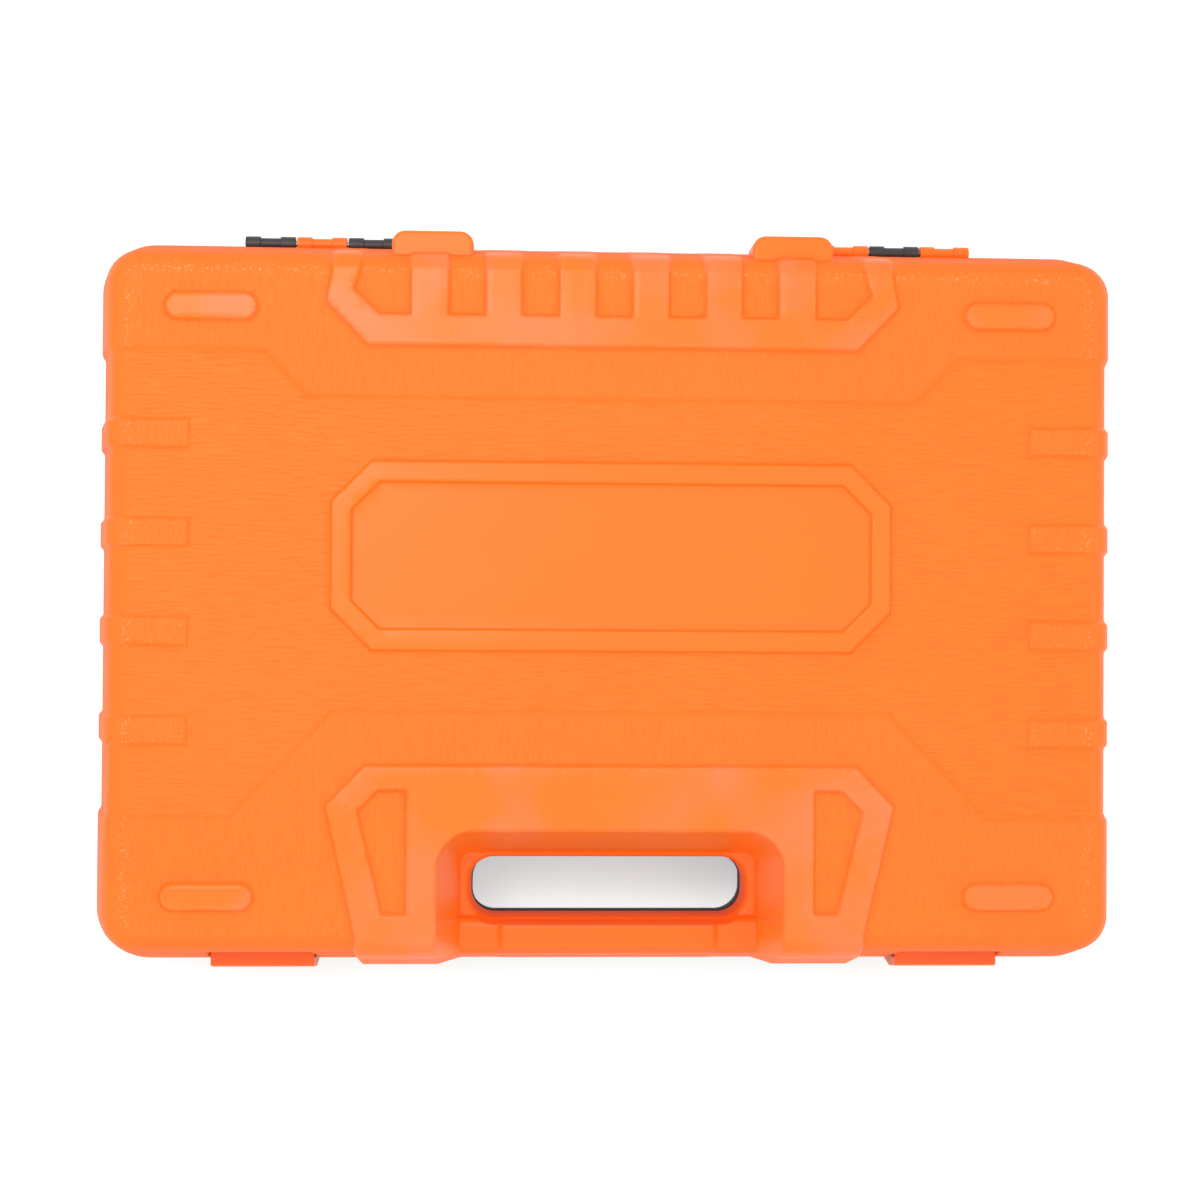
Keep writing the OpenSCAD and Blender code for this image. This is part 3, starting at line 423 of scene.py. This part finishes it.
def fold(u, v):
    """Where each point of the sheet lies on the moulding, which way is outward in plan, and its zones."""
    dx, dy = u - np.clip(u, -CORE_X, CORE_X), v - np.clip(v, -CORE_Y, CORE_Y)
    gone = np.hypot(dx, dy)
    nx, ny = dx / np.maximum(gone, 1e-9), dy / np.maximum(gone, 1e-9)
    past = np.maximum(gone - FLAT_R, 0)
    turn = np.minimum(past / ROLL, TURN)
    down = np.clip(past - ROLL * TURN, 0, WALL_RUN)
    reach = np.minimum(gone, FLAT_R) + ROLL * np.sin(turn) + down * math.sin(LEAN)
    x, y = u - dx + nx * reach, v - dy + ny * reach
    z = FACE - ROLL * (1 - np.cos(turn)) - down * math.cos(LEAN)

    # raised parts, square to the surface
    side = np.abs(u)
    depth, up = raised_parts(side, v)
    low = up["rear"] + up["front"] + up["ribs"]
    high = PANEL_LIFT * (up["comb"] + up["block"]) + PAD_LIFT * up["pads"]
    high = high + BAND_LIFT * up["plate"] * (1 - up["panel"])
    on_top = FIELD_LIFT * low + high
    on_wall = FIELD_PROUD * nx**2 * low + BOSS_PROUD * up["block"] * (v < 0)
    lift = on_top * np.cos(turn) ** 2 + on_wall * np.sin(turn) ** 2
    x, y, z = x + nx * np.sin(turn) * lift, y + ny * np.sin(turn) * lift, z + np.cos(turn) * lift

    # the handle: a sloping recess whose floor runs forward into the grip bar
    sink = ramp(recess_share(u, v), 0.14)
    bar_y, bar_z = grip_bar(side, v)
    x, y, z = x + (u - x) * sink, y + (bar_y - y) * sink, z + (bar_z - z) * sink

    # notches and hollows, then the rounding of the rim's outer edge
    y = notched(u, v, y, z)
    left = np.maximum(RIM_EASE - (WALL_RUN - down), 0)
    tuck = np.where(down > 0, RIM_EASE - np.sqrt(np.maximum(RIM_EASE**2 - left**2, 0)), 0)
    x, y = x - nx * tuck, y - ny * tuck
    return np.stack([x, y, z], 1), np.stack([nx, ny], 1), surface_zones(depth, up, sink, gone, ny, down)


def half_shell(sheet, slot_rows, well_top):
    """One closed half of the case on the parting plane, with its slot's wall laid row by row."""
    bm = sheet.copy()
    flat = np.array([v.co.xy for v in bm.verts])
    places, outward, zones = fold(flat[:, 0], flat[:, 1])
    out_layer = bm.verts.layers.float_vector.new("outward")
    layers = {name: bm.verts.layers.float.new(name) for name in zones}
    slot_faces = [f for f in bm.faces if over_slot(f.calc_center_median())]
    for i, v in enumerate(bm.verts):
        v.co = places[i]
        v[out_layer] = (outward[i][0], outward[i][1], 0)
        for name, layer in layers.items():
            v[layer] = zones[name][i]
    bmesh.ops.delete(bm, geom=slot_faces, context="FACES")

    edges = [e for e in bm.edges if e.is_boundary]
    slot = [e for e in edges if all(abs(v.co.x) < 60 and -130 < v.co.y < -80 for v in e.verts)]
    rim = [e for e in edges if e not in slot]

    def pull(loop, place):
        grown = bmesh.ops.extrude_edge_only(bm, edges=list(loop))["geom"]
        for v in grown:
            if isinstance(v, bmesh.types.BMVert):
                v.co = place(v)
                v[layers["wall"]] = 1
        return [e for e in grown if isinstance(e, bmesh.types.BMEdge) and e.is_boundary]

    for v in {v for e in rim for v in e.verts}:
        v.co.z = RIM
    for v in {v for e in slot for v in e.verts}:
        v.co.xy = slot_line(v.co.x, v.co.y, SLOT_EDGE)
    for z, offset in slot_rows:
        slot = pull(slot, lambda v: (*slot_line(v.co.x, v.co.y, offset), z))
    slot = pull(slot, lambda v: (*slot_line(v.co.x, v.co.y, LIP), RIM))
    slot = pull(slot, lambda v: (v.co.x, v.co.y, LEDGE))

    def inner_rim(v):
        place = v.co - v[out_layer] * (LIP - RIM_EASE)
        if v.co.y > 0 and HINGE_IN < abs(v.co.x) < HINGE_OUT:
            place.y = min(place.y, HINGE_RIM)
        return place

    rim = pull(rim, inner_rim)
    rim = pull(rim, lambda v: (v.co.x, v.co.y, LEDGE))
    well = dished_well(bm, well_top)
    bmesh.ops.triangle_fill(bm, edges=rim + slot + well, use_beauty=True)

    bmesh.ops.triangulate(bm, faces=[f for f in bm.faces if len(f.verts) > 4])
    for x in OWN_KNUCKLES:
        add_knuckle(bm, x)
    for x in (-TAB_X, TAB_X):
        add_tab(bm, x)
    bmesh.ops.recalc_face_normals(bm, faces=bm.faces)
    return bm


def dished_well(bm, top):
    """The deep hollow over the tools, closed at its top and open at the ledge, whose edges it returns."""
    left = [(-WELL_X, WELL_FRONT), (-WELL_HANDLE_X, WELL_FRONT), (-WELL_HANDLE_X, WELL_HANDLE_Y)]
    outline = left + [(-x, y) for x, y in reversed(left)] + [(WELL_X, WELL_REAR), (-WELL_X, WELL_REAR)]
    corners = [bm.verts.new((x, y, LEDGE)) for x, y in outline]
    face = bm.faces.new(corners)
    bmesh.ops.bevel(bm, geom=[v for v in corners if abs(v.co.x) > 180], affect="VERTICES", offset=WELL_R,
                    offset_type="OFFSET", segments=5, profile=0.5, material=-1)
    face = max((f for f in bm.faces if len(f.verts) > 20), key=lambda f: f.calc_area())
    loop = list(face.edges)
    lifted = bmesh.ops.extrude_face_region(bm, geom=[face])["geom"]
    for v in lifted:
        if isinstance(v, bmesh.types.BMVert):
            inward = (top - LEDGE) * math.tan(LEAN) * min(max(abs(v.co.x) - 100, 0) / 80, 1)
            y = min(max(v.co.y, WELL_TOP_FRONT), WELL_TOP_REAR)
            v.co = (v.co.x - math.copysign(inward, v.co.x), y, top)
    bmesh.ops.delete(bm, geom=[face], context="FACES_ONLY")
    return loop


def add_knuckle(bm, x):
    """Two lugs and the thinner sleeve between them, on the hinge axis."""
    length = KNUCKLE_PITCH - 2 * KNUCKLE_GAP
    turn = Matrix.Rotation(math.pi / 2, 4, "Y")
    parts = [(x - length / 2 + LUG_LENGTH / 2, LUG_R, LUG_LENGTH),
             (x + length / 2 - LUG_LENGTH / 2, LUG_R, LUG_LENGTH),
             (x, LUG_R - SLEEVE_STEP, length - 4)]
    for cx, r, long in parts:
        made = bmesh.ops.create_cone(bm, cap_ends=True, segments=28, radius1=r, radius2=r, depth=long,
                                     matrix=Matrix.Translation((cx, HINGE_Y, 0)) @ turn)["verts"]
        rims = [e for e in once(e for v in made for e in v.link_edges)
                if abs(e.verts[0].co.x - e.verts[1].co.x) < 0.01 and e.calc_face_angle(0) > 1]
        bmesh.ops.bevel(bm, geom=rims, affect="EDGES", offset=0.35, segments=2, profile=0.5, material=-1)


def fall(edge):
    return abs(edge.verts[0].co.z - edge.verts[1].co.z)


def rounded_block(bm, low, high, upright, ease):
    """A block whose upright edges and then its other edges are rounded."""
    low, high = Vector(low), Vector(high)
    made = bmesh.ops.create_cube(bm, size=1)["verts"]
    bmesh.ops.scale(bm, verts=made, vec=high - low)
    bmesh.ops.translate(bm, verts=made, vec=(low + high) / 2)
    edges = once(e for v in made for e in v.link_edges)
    stand = [e for e in edges if fall(e) > 0.5 * (high.z - low.z)]
    others = [e for e in edges if e not in stand]

    def on_an_end(v):
        within = low.x - 0.1 < v.co.x < high.x + 0.1 and low.y - 0.1 < v.co.y < high.y + 0.1
        return within and min(abs(v.co.z - low.z), abs(v.co.z - high.z)) < 1e-4

    if upright:
        bmesh.ops.bevel(bm, geom=stand, affect="EDGES", offset=upright, segments=6, profile=0.5, material=-1)
        ends = [e for e in bm.edges if all(on_an_end(v) for v in e.verts) and fall(e) < 1e-4]
        others = [e for e in ends if e.calc_face_angle(0) > 1]
    bmesh.ops.bevel(bm, geom=others, affect="EDGES", offset=ease, segments=3, profile=0.5, material=-1)


def add_tab(bm, x):
    """A raised foot on the rear wall, with rounded sides."""
    rounded_block(bm, (x - TAB_HALF, TAB_FRONT, TAB_LOW), (x + TAB_HALF, TAB_REAR, TAB_HIGH), TAB_R, TAB_EASE)


# edges of the mouldings that turn by more than this stay crisp
CRISP = math.radians(48)


def piece(name, bm, body, stands_for, finish, place=Matrix.Identity(4)):
    """Ends a moulding made in mm: places it, smooths it, and lets it stand for its CAD node."""
    bmesh.ops.transform(bm, matrix=Matrix.Scale(MM, 4) @ place, verts=bm.verts)
    mesh = bpy.data.meshes.new(name)
    bm.to_mesh(mesh)
    bm.free()
    mesh.shade_smooth()
    mesh.set_sharp_from_angle(angle=CRISP)
    made = bpy.data.objects.new(name, mesh)
    bpy.context.scene.collection.objects.link(made)
    made.modifiers.new("even normals", "WEIGHTED_NORMAL").keep_sharp = True
    mesh.materials.append(finish)
    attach(made, body)
    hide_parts(stands_for)
    return made


# ---------- finishes ----------

PLASTIC_IOR = 1.5
# depth of the case's etched grain, in mm
GRAIN_DEPTH = 0.22

MATHS, RANGE, MIX = "ShaderNodeMath", "ShaderNodeMapRange", "ShaderNodeMix"
NOISE, BUMP, SHADER = "ShaderNodeTexNoise", "ShaderNodeBump", "ShaderNodeBsdfPrincipled"
OUTPUT = "ShaderNodeOutputMaterial"


def tone(code):
    """An sRGB hex colour as linear RGBA."""
    parts = [int(code[i : i + 2], 16) / 255 for i in (1, 3, 5)]
    return (*[c / 12.92 if c <= 0.04045 else ((c + 0.055) / 1.055) ** 2.4 for c in parts], 1.0)


def add_node(tree, kind, feeds=None, **settings):
    """Adds a node with its settings; feeds gives its inputs, as values, nodes or sockets."""
    made = tree.nodes.new(kind)
    for key, value in settings.items():
        setattr(made, key, value)
    for key, value in (feeds or {}).items():
        if isinstance(value, bpy.types.Node):
            value = value.outputs[0]
        if isinstance(value, bpy.types.NodeSocket):
            tree.links.new(value, made.inputs[key])
        else:
            made.inputs[key].default_value = value
    return made


def new_finish(name):
    """An empty material, and the function that adds nodes to it."""
    made = bpy.data.materials.new(name)
    made.use_nodes = True
    made.node_tree.nodes.clear()
    return made, functools.partial(add_node, made.node_tree)


def streaks(add, coords, length, width, detail, warp):
    """Noise drawn out into streaks; length along X and width along Y and Z, in mm."""
    size = (1 / (length * MM), 1 / (width * MM), 1 / (width * MM))
    laid = add("ShaderNodeMapping", {"Vector": coords, "Scale": size})
    return add(NOISE, {"Vector": laid, "Scale": 1.0, "Detail": detail, "Roughness": 0.6, "Distortion": warp})


def moulded_hdpe(name, body, deep, pale, rub, painted_sheen, gloss):
    """Blow-moulded HDPE: waxy satin plastic, streaked by the mould's etched grain, with smooth panels."""
    made, add = new_finish(name)
    coords = add("ShaderNodeTexCoord").outputs["Object"]
    zone = {k: add("ShaderNodeAttribute", attribute_name=k).outputs["Fac"] for k in
            ("across", "along", "rubbed", "recess_shade", "sheen_panels", "wall")}

    # streaks across the case are about 10 mm long and 0.7 mm wide; those front to back are 5 mm long and a
    # little coarser, so that they show; a 0.6 mm grit lies over both
    turned = add("ShaderNodeMapping", {"Vector": coords, "Rotation": (0, 0, math.pi / 2)})
    dip_long = add(RANGE, {0: streaks(add, coords, 10, 0.7, 3, 0.35), 1: 0.33, 2: 0.5})
    dip_short = add(RANGE, {0: streaks(add, turned, 5.0, 0.75, 2, 0.9), 1: 0.32, 2: 0.55})
    grit = add(NOISE, {"Vector": coords, "Scale": 1 / (0.6 * MM), "Detail": 2.0})
    across = add(MATHS, {0: zone["across"], 1: dip_long}, operation="MULTIPLY")
    along = add(MATHS, {0: zone["along"], 1: dip_short}, operation="MULTIPLY")
    textured = add(MATHS, {0: zone["across"], 1: zone["along"]}, operation="ADD")
    faint = add(MATHS, {0: textured, 1: 0.35}, operation="MULTIPLY")
    gritty = add(MATHS, {0: faint, 1: grit}, operation="MULTIPLY")
    streaked = add(MATHS, {0: across, 1: along}, operation="ADD")
    rise = add(MATHS, {0: streaked, 1: gritty}, operation="ADD")
    relief = add(BUMP, {"Strength": 0.55, "Distance": GRAIN_DEPTH * MM, "Height": rise})
    # cooling leaves the wide faces slightly uneven, over about 45 mm
    sag = add(NOISE, {"Vector": coords, "Scale": 1 / (45 * MM), "Detail": 1})
    relief = add(BUMP, {"Strength": 0.35, "Distance": 1.2 * MM, "Height": sag, "Normal": relief})

    # the plastic is paler in patches about 60 mm wide; painted shade makes it deeper in the grain's valleys
    # and on the recess's floor
    cloud = add(NOISE, {"Vector": coords, "Scale": 1 / (60 * MM), "Detail": 3})
    patch = add(RANGE, {0: cloud, 1: 0.35, 2: 0.7})
    patch = add(MATHS, {0: patch, 1: 0.35}, operation="MULTIPLY")
    colour = add(MIX, {0: patch, 6: tone(body), 7: tone(pale)}, data_type="RGBA").outputs[2]
    # painted shade: the grain's valleys take the deep tone
    grain_shade = add(MATHS, {0: textured, 1: rise}, operation="SUBTRACT")
    grain_shade = add(RANGE, {0: grain_shade, 1: 0.0, 2: 1.0, 3: 0.0, 4: 0.34})
    colour = add(MIX, {0: grain_shade, 6: colour, 7: tone(deep)}, data_type="RGBA").outputs[2]
    # painted shade: the recess's floor takes the deep tone
    recess_shade = add(RANGE, {0: zone["recess_shade"], 1: 0.75, 2: 1.0, 3: 0.0, 4: 0.8})
    colour = add(MIX, {0: recess_shade, 6: colour, 7: tone(deep)}, data_type="RGBA").outputs[2]
    # painted sheen: the smooth proud panels are painted paler in patches about 30 mm wide, standing in for
    # reflected light
    sheen_patches = add(NOISE, {"Vector": coords, "Scale": 1 / (30 * MM), "Detail": 3})
    sheen_share = add(RANGE, {0: sheen_patches, 1: 0.42, 2: 0.66, 3: 0.0, 4: 0.42})
    # painted sheen: pale tone mixed in where the panels would reflect light
    sheen_share = add(MATHS, {0: sheen_share, 1: zone["sheen_panels"]}, operation="MULTIPLY")
    colour = add(MIX, {0: sheen_share, 6: colour, 7: tone(painted_sheen)}, data_type="RGBA").outputs[2]
    # painted shade: the walls take the deep tone
    painted_wall_shade = add(MATHS, {0: zone["wall"], 1: 0.6}, operation="MULTIPLY")
    colour = add(MIX, {0: painted_wall_shade, 6: colour, 7: tone(deep)}, data_type="RGBA").outputs[2]
    # edges wear pale in specks about 1 mm across
    specks = add(NOISE, {"Vector": coords, "Scale": 1 / (1.1 * MM), "Detail": 4})
    specks = add(RANGE, {0: specks, 1: 0.56, 2: 0.66})
    worn = add(MATHS, {0: specks, 1: zone["rubbed"]}, operation="MULTIPLY")
    pale_worn = add(MATHS, {0: worn, 1: 0.42}, operation="MULTIPLY")
    colour = add(MIX, {0: pale_worn, 6: colour, 7: tone(rub)}, data_type="RGBA").outputs[2]

    # grain, wear and the walls are duller than the smooth plastic
    dull = add(MATHS, {0: textured, 1: worn}, operation="ADD")
    rough = add(RANGE, {0: dull, 1: 0.0, 2: 1.0, 3: gloss, 4: gloss + 0.2})
    dull_walls = add(MATHS, {0: zone["wall"], 1: 0.25}, operation="MULTIPLY")
    rough = add(MATHS, {0: rough, 1: dull_walls}, operation="ADD")
    shader = add(SHADER, {"Base Color": colour, "Roughness": rough, "IOR": PLASTIC_IOR,
                          "Specular IOR Level": 0.32, "Normal": relief})
    add(OUTPUT, {"Surface": shader})
    return made


def plain_plastic(name, body, deep, gloss, grain_size, grain_depth):
    """Moulded or dipped plastic: even colour with a fine grain and slight flow shades, about 28 mm across."""
    made, add = new_finish(name)
    coords = add("ShaderNodeTexCoord").outputs["Object"]
    grain = add(NOISE, {"Vector": coords, "Scale": 1 / (grain_size * MM), "Detail": 2.0})
    relief = add(BUMP, {"Strength": 0.4, "Distance": grain_depth * MM, "Height": grain})
    flow = add(NOISE, {"Vector": coords, "Scale": 1 / (28 * MM), "Detail": 2})
    flow = add(RANGE, {0: flow, 1: 0.35, 2: 0.7})
    flow = add(MATHS, {0: flow, 1: 0.5}, operation="MULTIPLY")
    colour = add(MIX, {0: flow, 6: tone(body), 7: tone(deep)}, data_type="RGBA").outputs[2]
    rough = add(RANGE, {0: grain, 1: 0.3, 2: 0.7, 3: gloss, 4: gloss + 0.1})
    shader = add(SHADER, {"Base Color": colour, "Roughness": rough, "IOR": PLASTIC_IOR,
                          "Specular IOR Level": 0.36, "Normal": relief})
    add(OUTPUT, {"Surface": shader})
    return made


def steel(name, body, stain, gloss, line_length, line_width, depth):
    """Plated or bare tool steel: fine turning or polishing lines, and faint clouds about 9 mm across."""
    made, add = new_finish(name)
    coords = add("ShaderNodeTexCoord").outputs["Object"]
    lines = streaks(add, coords, line_length, line_width, 2, 0.0)
    relief = add(BUMP, {"Strength": 0.25, "Distance": depth * MM, "Height": lines})
    cloud = add(NOISE, {"Vector": coords, "Scale": 1 / (9 * MM), "Detail": 3})
    cloud = add(RANGE, {0: cloud, 1: 0.4, 2: 0.75})
    stained = add(MATHS, {0: cloud, 1: 0.4}, operation="MULTIPLY")
    colour = add(MIX, {0: stained, 6: tone(body), 7: tone(stain)}, data_type="RGBA").outputs[2]
    rough = add(RANGE, {0: lines, 1: 0.3, 2: 0.7, 3: gloss - 0.05, 4: gloss + 0.05})
    clouded = add(MATHS, {0: cloud, 1: 0.06}, operation="MULTIPLY")
    rough = add(MATHS, {0: rough, 1: clouded}, operation="ADD")
    shader = add(SHADER, {"Base Color": colour, "Metallic": 1.0, "Roughness": rough, "Normal": relief})
    add(OUTPUT, {"Surface": shader})
    return made


# blow-moulded HDPE, orange: waxy and satin, paler where edges rub; painted shade in the deep tone in the
# grain, the recess and on the walls, and a pale painted sheen in patches on the panels
lid_hdpe = moulded_hdpe("blow_moulded_orange_hdpe", body="#FF761B", deep="#FF6813", pale="#FF7C23",
                        rub="#FFC48F", painted_sheen="#FF8460", gloss=0.36)
# the same plastic in black: a little duller, greyer where edges rub, with painted shade in the deep tone
# and a greyer painted sheen on the panels
base_hdpe = moulded_hdpe("blow_moulded_black_hdpe", body="#3B3A3A", deep="#2C2B2C", pale="#454444",
                         rub="#77746F", painted_sheen="#4D4B4A", gloss=0.4)
# injection-moulded ABS: redder and a touch glossier than the case, in one even colour
latch_abs = plain_plastic("injection_moulded_orange_abs", "#FB671C", "#F86018", 0.34, 0.5, 0.02)
# the case's inner skins: the same HDPE without streaks, in a plain soft satin
liner_hdpe = plain_plastic("orange_hdpe_inner_skin", "#F8802F", "#F37726", 0.4, 0.8, 0.05)
tray_hdpe = plain_plastic("black_hdpe_inner_skin", "#333234", "#2A292B", 0.42, 0.8, 0.06)
# injection-moulded ABS racks: a darker and slightly glossier black than the tray under them
rack_abs = plain_plastic("injection_moulded_black_abs", "#2B2B2D", "#222224", 0.35, 0.5, 0.03)
# dipped PVC: soft and matt, with broad dull highlights
grip_pvc = plain_plastic("dipped_black_pvc_grip", "#232325", "#1B1B1D", 0.5, 0.7, 0.06)
# chrome vanadium steel, satin chromed: bright, with highlights drawn out along the polishing lines
chrome = steel("satin_chrome_vanadium", "#D5D7DA", "#BFC2C6", 0.24, 40, 0.35, 0.01)
# sandblasted S2 steel: grey and frosty, with a short grain
bit_s2 = steel("sandblasted_s2_steel", "#A7A9AC", "#8F9195", 0.38, 1.2, 0.4, 0.02)
# drawn steel pins: plain grey with long fine lines
pin_steel = steel("drawn_pin_steel", "#C4C5C7", "#A9ABAE", 0.28, 20, 0.3, 0.008)
# blackened steel of the levers, buttons and pawl: dark, with a soft shine
control_steel = steel("blackened_control_steel", "#6C6E72", "#56585C", 0.3, 10, 0.3, 0.01)

# ---------- case ----------

sheet = cut_sheet()
lid = half_shell(sheet, SLOT_WALL + LID_SLOT_FOOT, LID_WELL)
base = half_shell(sheet, SLOT_WALL + BASE_SLOT_FOOT, BASE_WELL)
sheet.free()
# catch beads on the lid, which the latches snap over
for x in (-BEAD_X, BEAD_X):
    rounded_block(lid, (x - BEAD_HALF, -134.4, 4), (x + BEAD_HALF, -130.8, 6.6), 0, 0.8)
# lugs that carry the latch pins, on the base
for x in LATCH_LUG_X:
    rounded_block(base, (x - LATCH_LUG_HALF, -137.3, 11.4), (x + LATCH_LUG_HALF, -130.3, 18.6), 0, 0.8)
for half in (lid, base):
    bmesh.ops.recalc_face_normals(half, faces=half.faces)
lift = Matrix.Translation((0, 0, PARTING))
piece("lid_moulding", lid, "lid", "lid_shell", lid_hdpe, lift)
piece("base_moulding", base, "base", "base_shell", base_hdpe,
      lift @ Matrix.Rotation(math.pi, 4, "Y"))


def latch_bm(x0, x1):
    """The hinged latch: a tapered plate with a hook at its top and a barrel at its foot."""
    bm = bmesh.new()
    profile = [(-138.2, 45.5), (-137.3, 46.5), (-132.2, 46.5), (-132.1, 43.6), (-135.1, 43.3), (-135.3, 23),
               (-133.6, 20), (-135, 18.4), (-137.6, 19.2), (-138.7, 22.5), (-140.2, 33)]
    face = bm.faces.new([bm.verts.new((x0, y, z)) for y, z in profile])
    grown = bmesh.ops.extrude_face_region(bm, geom=[face])["geom"]
    far_side = [g for g in grown if isinstance(g, bmesh.types.BMVert)]
    bmesh.ops.translate(bm, verts=far_side, vec=(x1 - x0, 0, 0))
    bmesh.ops.recalc_face_normals(bm, faces=bm.faces)
    sharp = [e for e in bm.edges if e.calc_face_angle(0) > 0.3]
    bmesh.ops.bevel(bm, geom=sharp, affect="EDGES", offset=0.55, segments=3, profile=0.5, material=-1,
                    clamp_overlap=True)
    return bm


for name, x0, x1 in (("latch_left", -LATCH_OUT, -LATCH_IN), ("latch_right", LATCH_IN, LATCH_OUT)):
    piece(name + "_moulding", latch_bm(x0, x1), name, name, latch_abs)

# ---------- nodes whose CAD shape is right already: copies with eased edges ----------

# metres within which loose corners are merged, and the angle past which an edge stays sharp
WELD = 2e-6
SHARP = math.radians(35)


def eased(name, ease, finish):
    """A merged copy of a CAD node with softened edges, riding on the same body."""
    source = frame["nodes"][name]
    bm = bmesh.new()
    bm.from_mesh(source.data)
    bmesh.ops.remove_doubles(bm, verts=bm.verts, dist=WELD)
    bmesh.ops.dissolve_limit(bm, angle_limit=math.radians(1), verts=bm.verts, edges=bm.edges)
    bmesh.ops.triangulate(bm, faces=bm.faces)
    mesh = bpy.data.meshes.new(name + "_finished")
    bm.to_mesh(mesh)
    bm.free()
    mesh.shade_smooth()
    mesh.set_sharp_from_angle(angle=SHARP)
    made = bpy.data.objects.new(name + "_finished", mesh)
    bpy.context.scene.collection.objects.link(made)
    if ease:
        round_off = made.modifiers.new("eased edges", "BEVEL")
        round_off.width = ease * MM
        round_off.segments = 2
        round_off.limit_method = "ANGLE"
        round_off.angle_limit = SHARP
        round_off.harden_normals = True
        round_off.miter_outer = "MITER_ARC"
    mesh.materials.append(finish)
    body = next(b for b, held in held_nodes.items() if name in held)
    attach(made, body)
    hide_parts(name)
    return made


held_nodes = frame["record"]["behaviour"]["bodies"]

# for each slot: its finish, how far edges are eased in mm, and its nodes
FINISHES = {
    "lid_plastic": (liner_hdpe, 0.4, ["lid_liner"]),
    "base_plastic": (tray_hdpe, 0.4, ["base_tray"]),
    "rack_plastic": (rack_abs, 0.3, ["bit_racks"]),
    "grip_plastic": (grip_pvc, 0.5, ["large_ratchet_grip", "small_ratchet_grip", "spinner_grip"]),
    "pin_steel": (pin_steel, 0.15, [
        "latch_pin_left", "latch_pin_right", "hinge_pin_left", "hinge_pin_right"]),
    "bit_steel": (bit_s2, 0.15, ["large_bits", "small_bits"]),
    "control_steel": (control_steel, 0.2, [
        "large_ratchet_lever", "large_ratchet_button", "large_ratchet_pawl",
        "small_ratchet_lever", "small_ratchet_button"]),
}
dressed = {n for _, _, names in FINISHES.values() for n in names}
dressed |= {"lid_shell", "base_shell", "latch_left", "latch_right"}
FINISHES["tool_chrome"] = (chrome, 0.25, [n for n in frame["nodes"] if n not in dressed])
for slot_name, (finish, ease, names) in FINISHES.items():
    for name in names:
        eased(name, ease, finish)

# ---------- camera, light and floor ----------

# lens in mm, place in metres, and turn from straight down: degrees about an axis, as one vector
LENS = 59.015
CAMERA_PLACE = (-0.03888, -0.01005, 0.79596)
CAMERA_TURN = Vector((0.85289, -2.70798, 0.40036))

camera = bpy.data.objects.new("camera", bpy.data.cameras.new("camera"))
bpy.context.scene.collection.objects.link(camera)
camera.data.lens = LENS
camera.data.sensor_width = 36.0
camera.data.clip_start = 0.01
camera.data.clip_end = 50.0
camera.matrix_world = Matrix.Translation(CAMERA_PLACE) @ Matrix.Rotation(
    math.radians(CAMERA_TURN.length), 4, CAMERA_TURN.normalized())
bpy.context.scene.camera = camera


def softbox(name, place, width, depth, power):
    """A rectangular lamp that faces the middle of the case; place and size in metres, power in watts."""
    lamp = bpy.data.lights.new(name, "AREA")
    lamp.shape = "RECTANGLE"
    lamp.size, lamp.size_y, lamp.energy = width, depth, power
    made = bpy.data.objects.new(name, lamp)
    bpy.context.scene.collection.objects.link(made)
    aim = Vector(place).to_track_quat("Z", "Y").to_matrix().to_4x4()
    made.matrix_world = Matrix.Translation(place) @ aim
    return made


softbox("main softbox", (-0.26, 0.25, 0.85), 0.45, 0.4, 2.8)
softbox("front softbox", (-0.25, -1.1, 1.4), 1.4, 1.0, 4.5)
softbox("side softbox", (1.0, 0.1, 1.3), 1.0, 1.4, 4.2)


def shown_white(add):
    """1 for the rays that see the studio itself: straight, mirrored or through glass."""
    path = add("ShaderNodeLightPath").outputs
    seen = add(MATHS, {0: path["Is Camera Ray"], 1: path["Is Glossy Ray"]}, operation="MAXIMUM")
    return add(MATHS, {0: seen, 1: path["Is Transmission Ray"]}, operation="MAXIMUM")


# brightness of the studio as light on the case; it is seen as plain white
STUDIO_LIGHT = 0.74
# what lifts the card towards white where it is seen
CARD_GLOW = 0.4
# the card lies just under the case's feet
CARD_DROP = 0.4 * MM

world = bpy.data.worlds.new("studio")
bpy.context.scene.world = world
world.use_nodes = True
world.node_tree.nodes.clear()
add = functools.partial(add_node, world.node_tree)
strength = add(RANGE, {0: shown_white(add), 1: 0.0, 2: 1.0, 3: STUDIO_LIGHT, 4: 1.0})
glow = add("ShaderNodeBackground", {"Color": (1, 1, 1, 1), "Strength": strength})
add("ShaderNodeOutputWorld", {"Surface": glow})

bm = bmesh.new()
bmesh.ops.create_grid(bm, x_segments=8, y_segments=8, size=4)
bmesh.ops.translate(bm, verts=bm.verts, vec=(0, 0, -CARD_DROP))
floor_mesh = bpy.data.meshes.new("floor")
bm.to_mesh(floor_mesh)
bm.free()
floor = bpy.data.objects.new("floor", floor_mesh)
bpy.context.scene.collection.objects.link(floor)
# matt white card: shown near white, with the case's shadow left on it
card, add = new_finish("white_card")
matt = add("ShaderNodeBsdfDiffuse", {"Color": tone("#EDEDEB")})
seen_glow = add(RANGE, {0: shown_white(add), 1: 0.0, 2: 1.0, 3: 0.0, 4: CARD_GLOW})
shine = add("ShaderNodeEmission", {"Color": tone("#FFFFFF"), "Strength": seen_glow})
add(OUTPUT, {"Surface": add("ShaderNodeAddShader", {0: matt, 1: shine})})
floor_mesh.materials.append(card)

bpy.context.scene.view_settings.view_transform = "Standard"
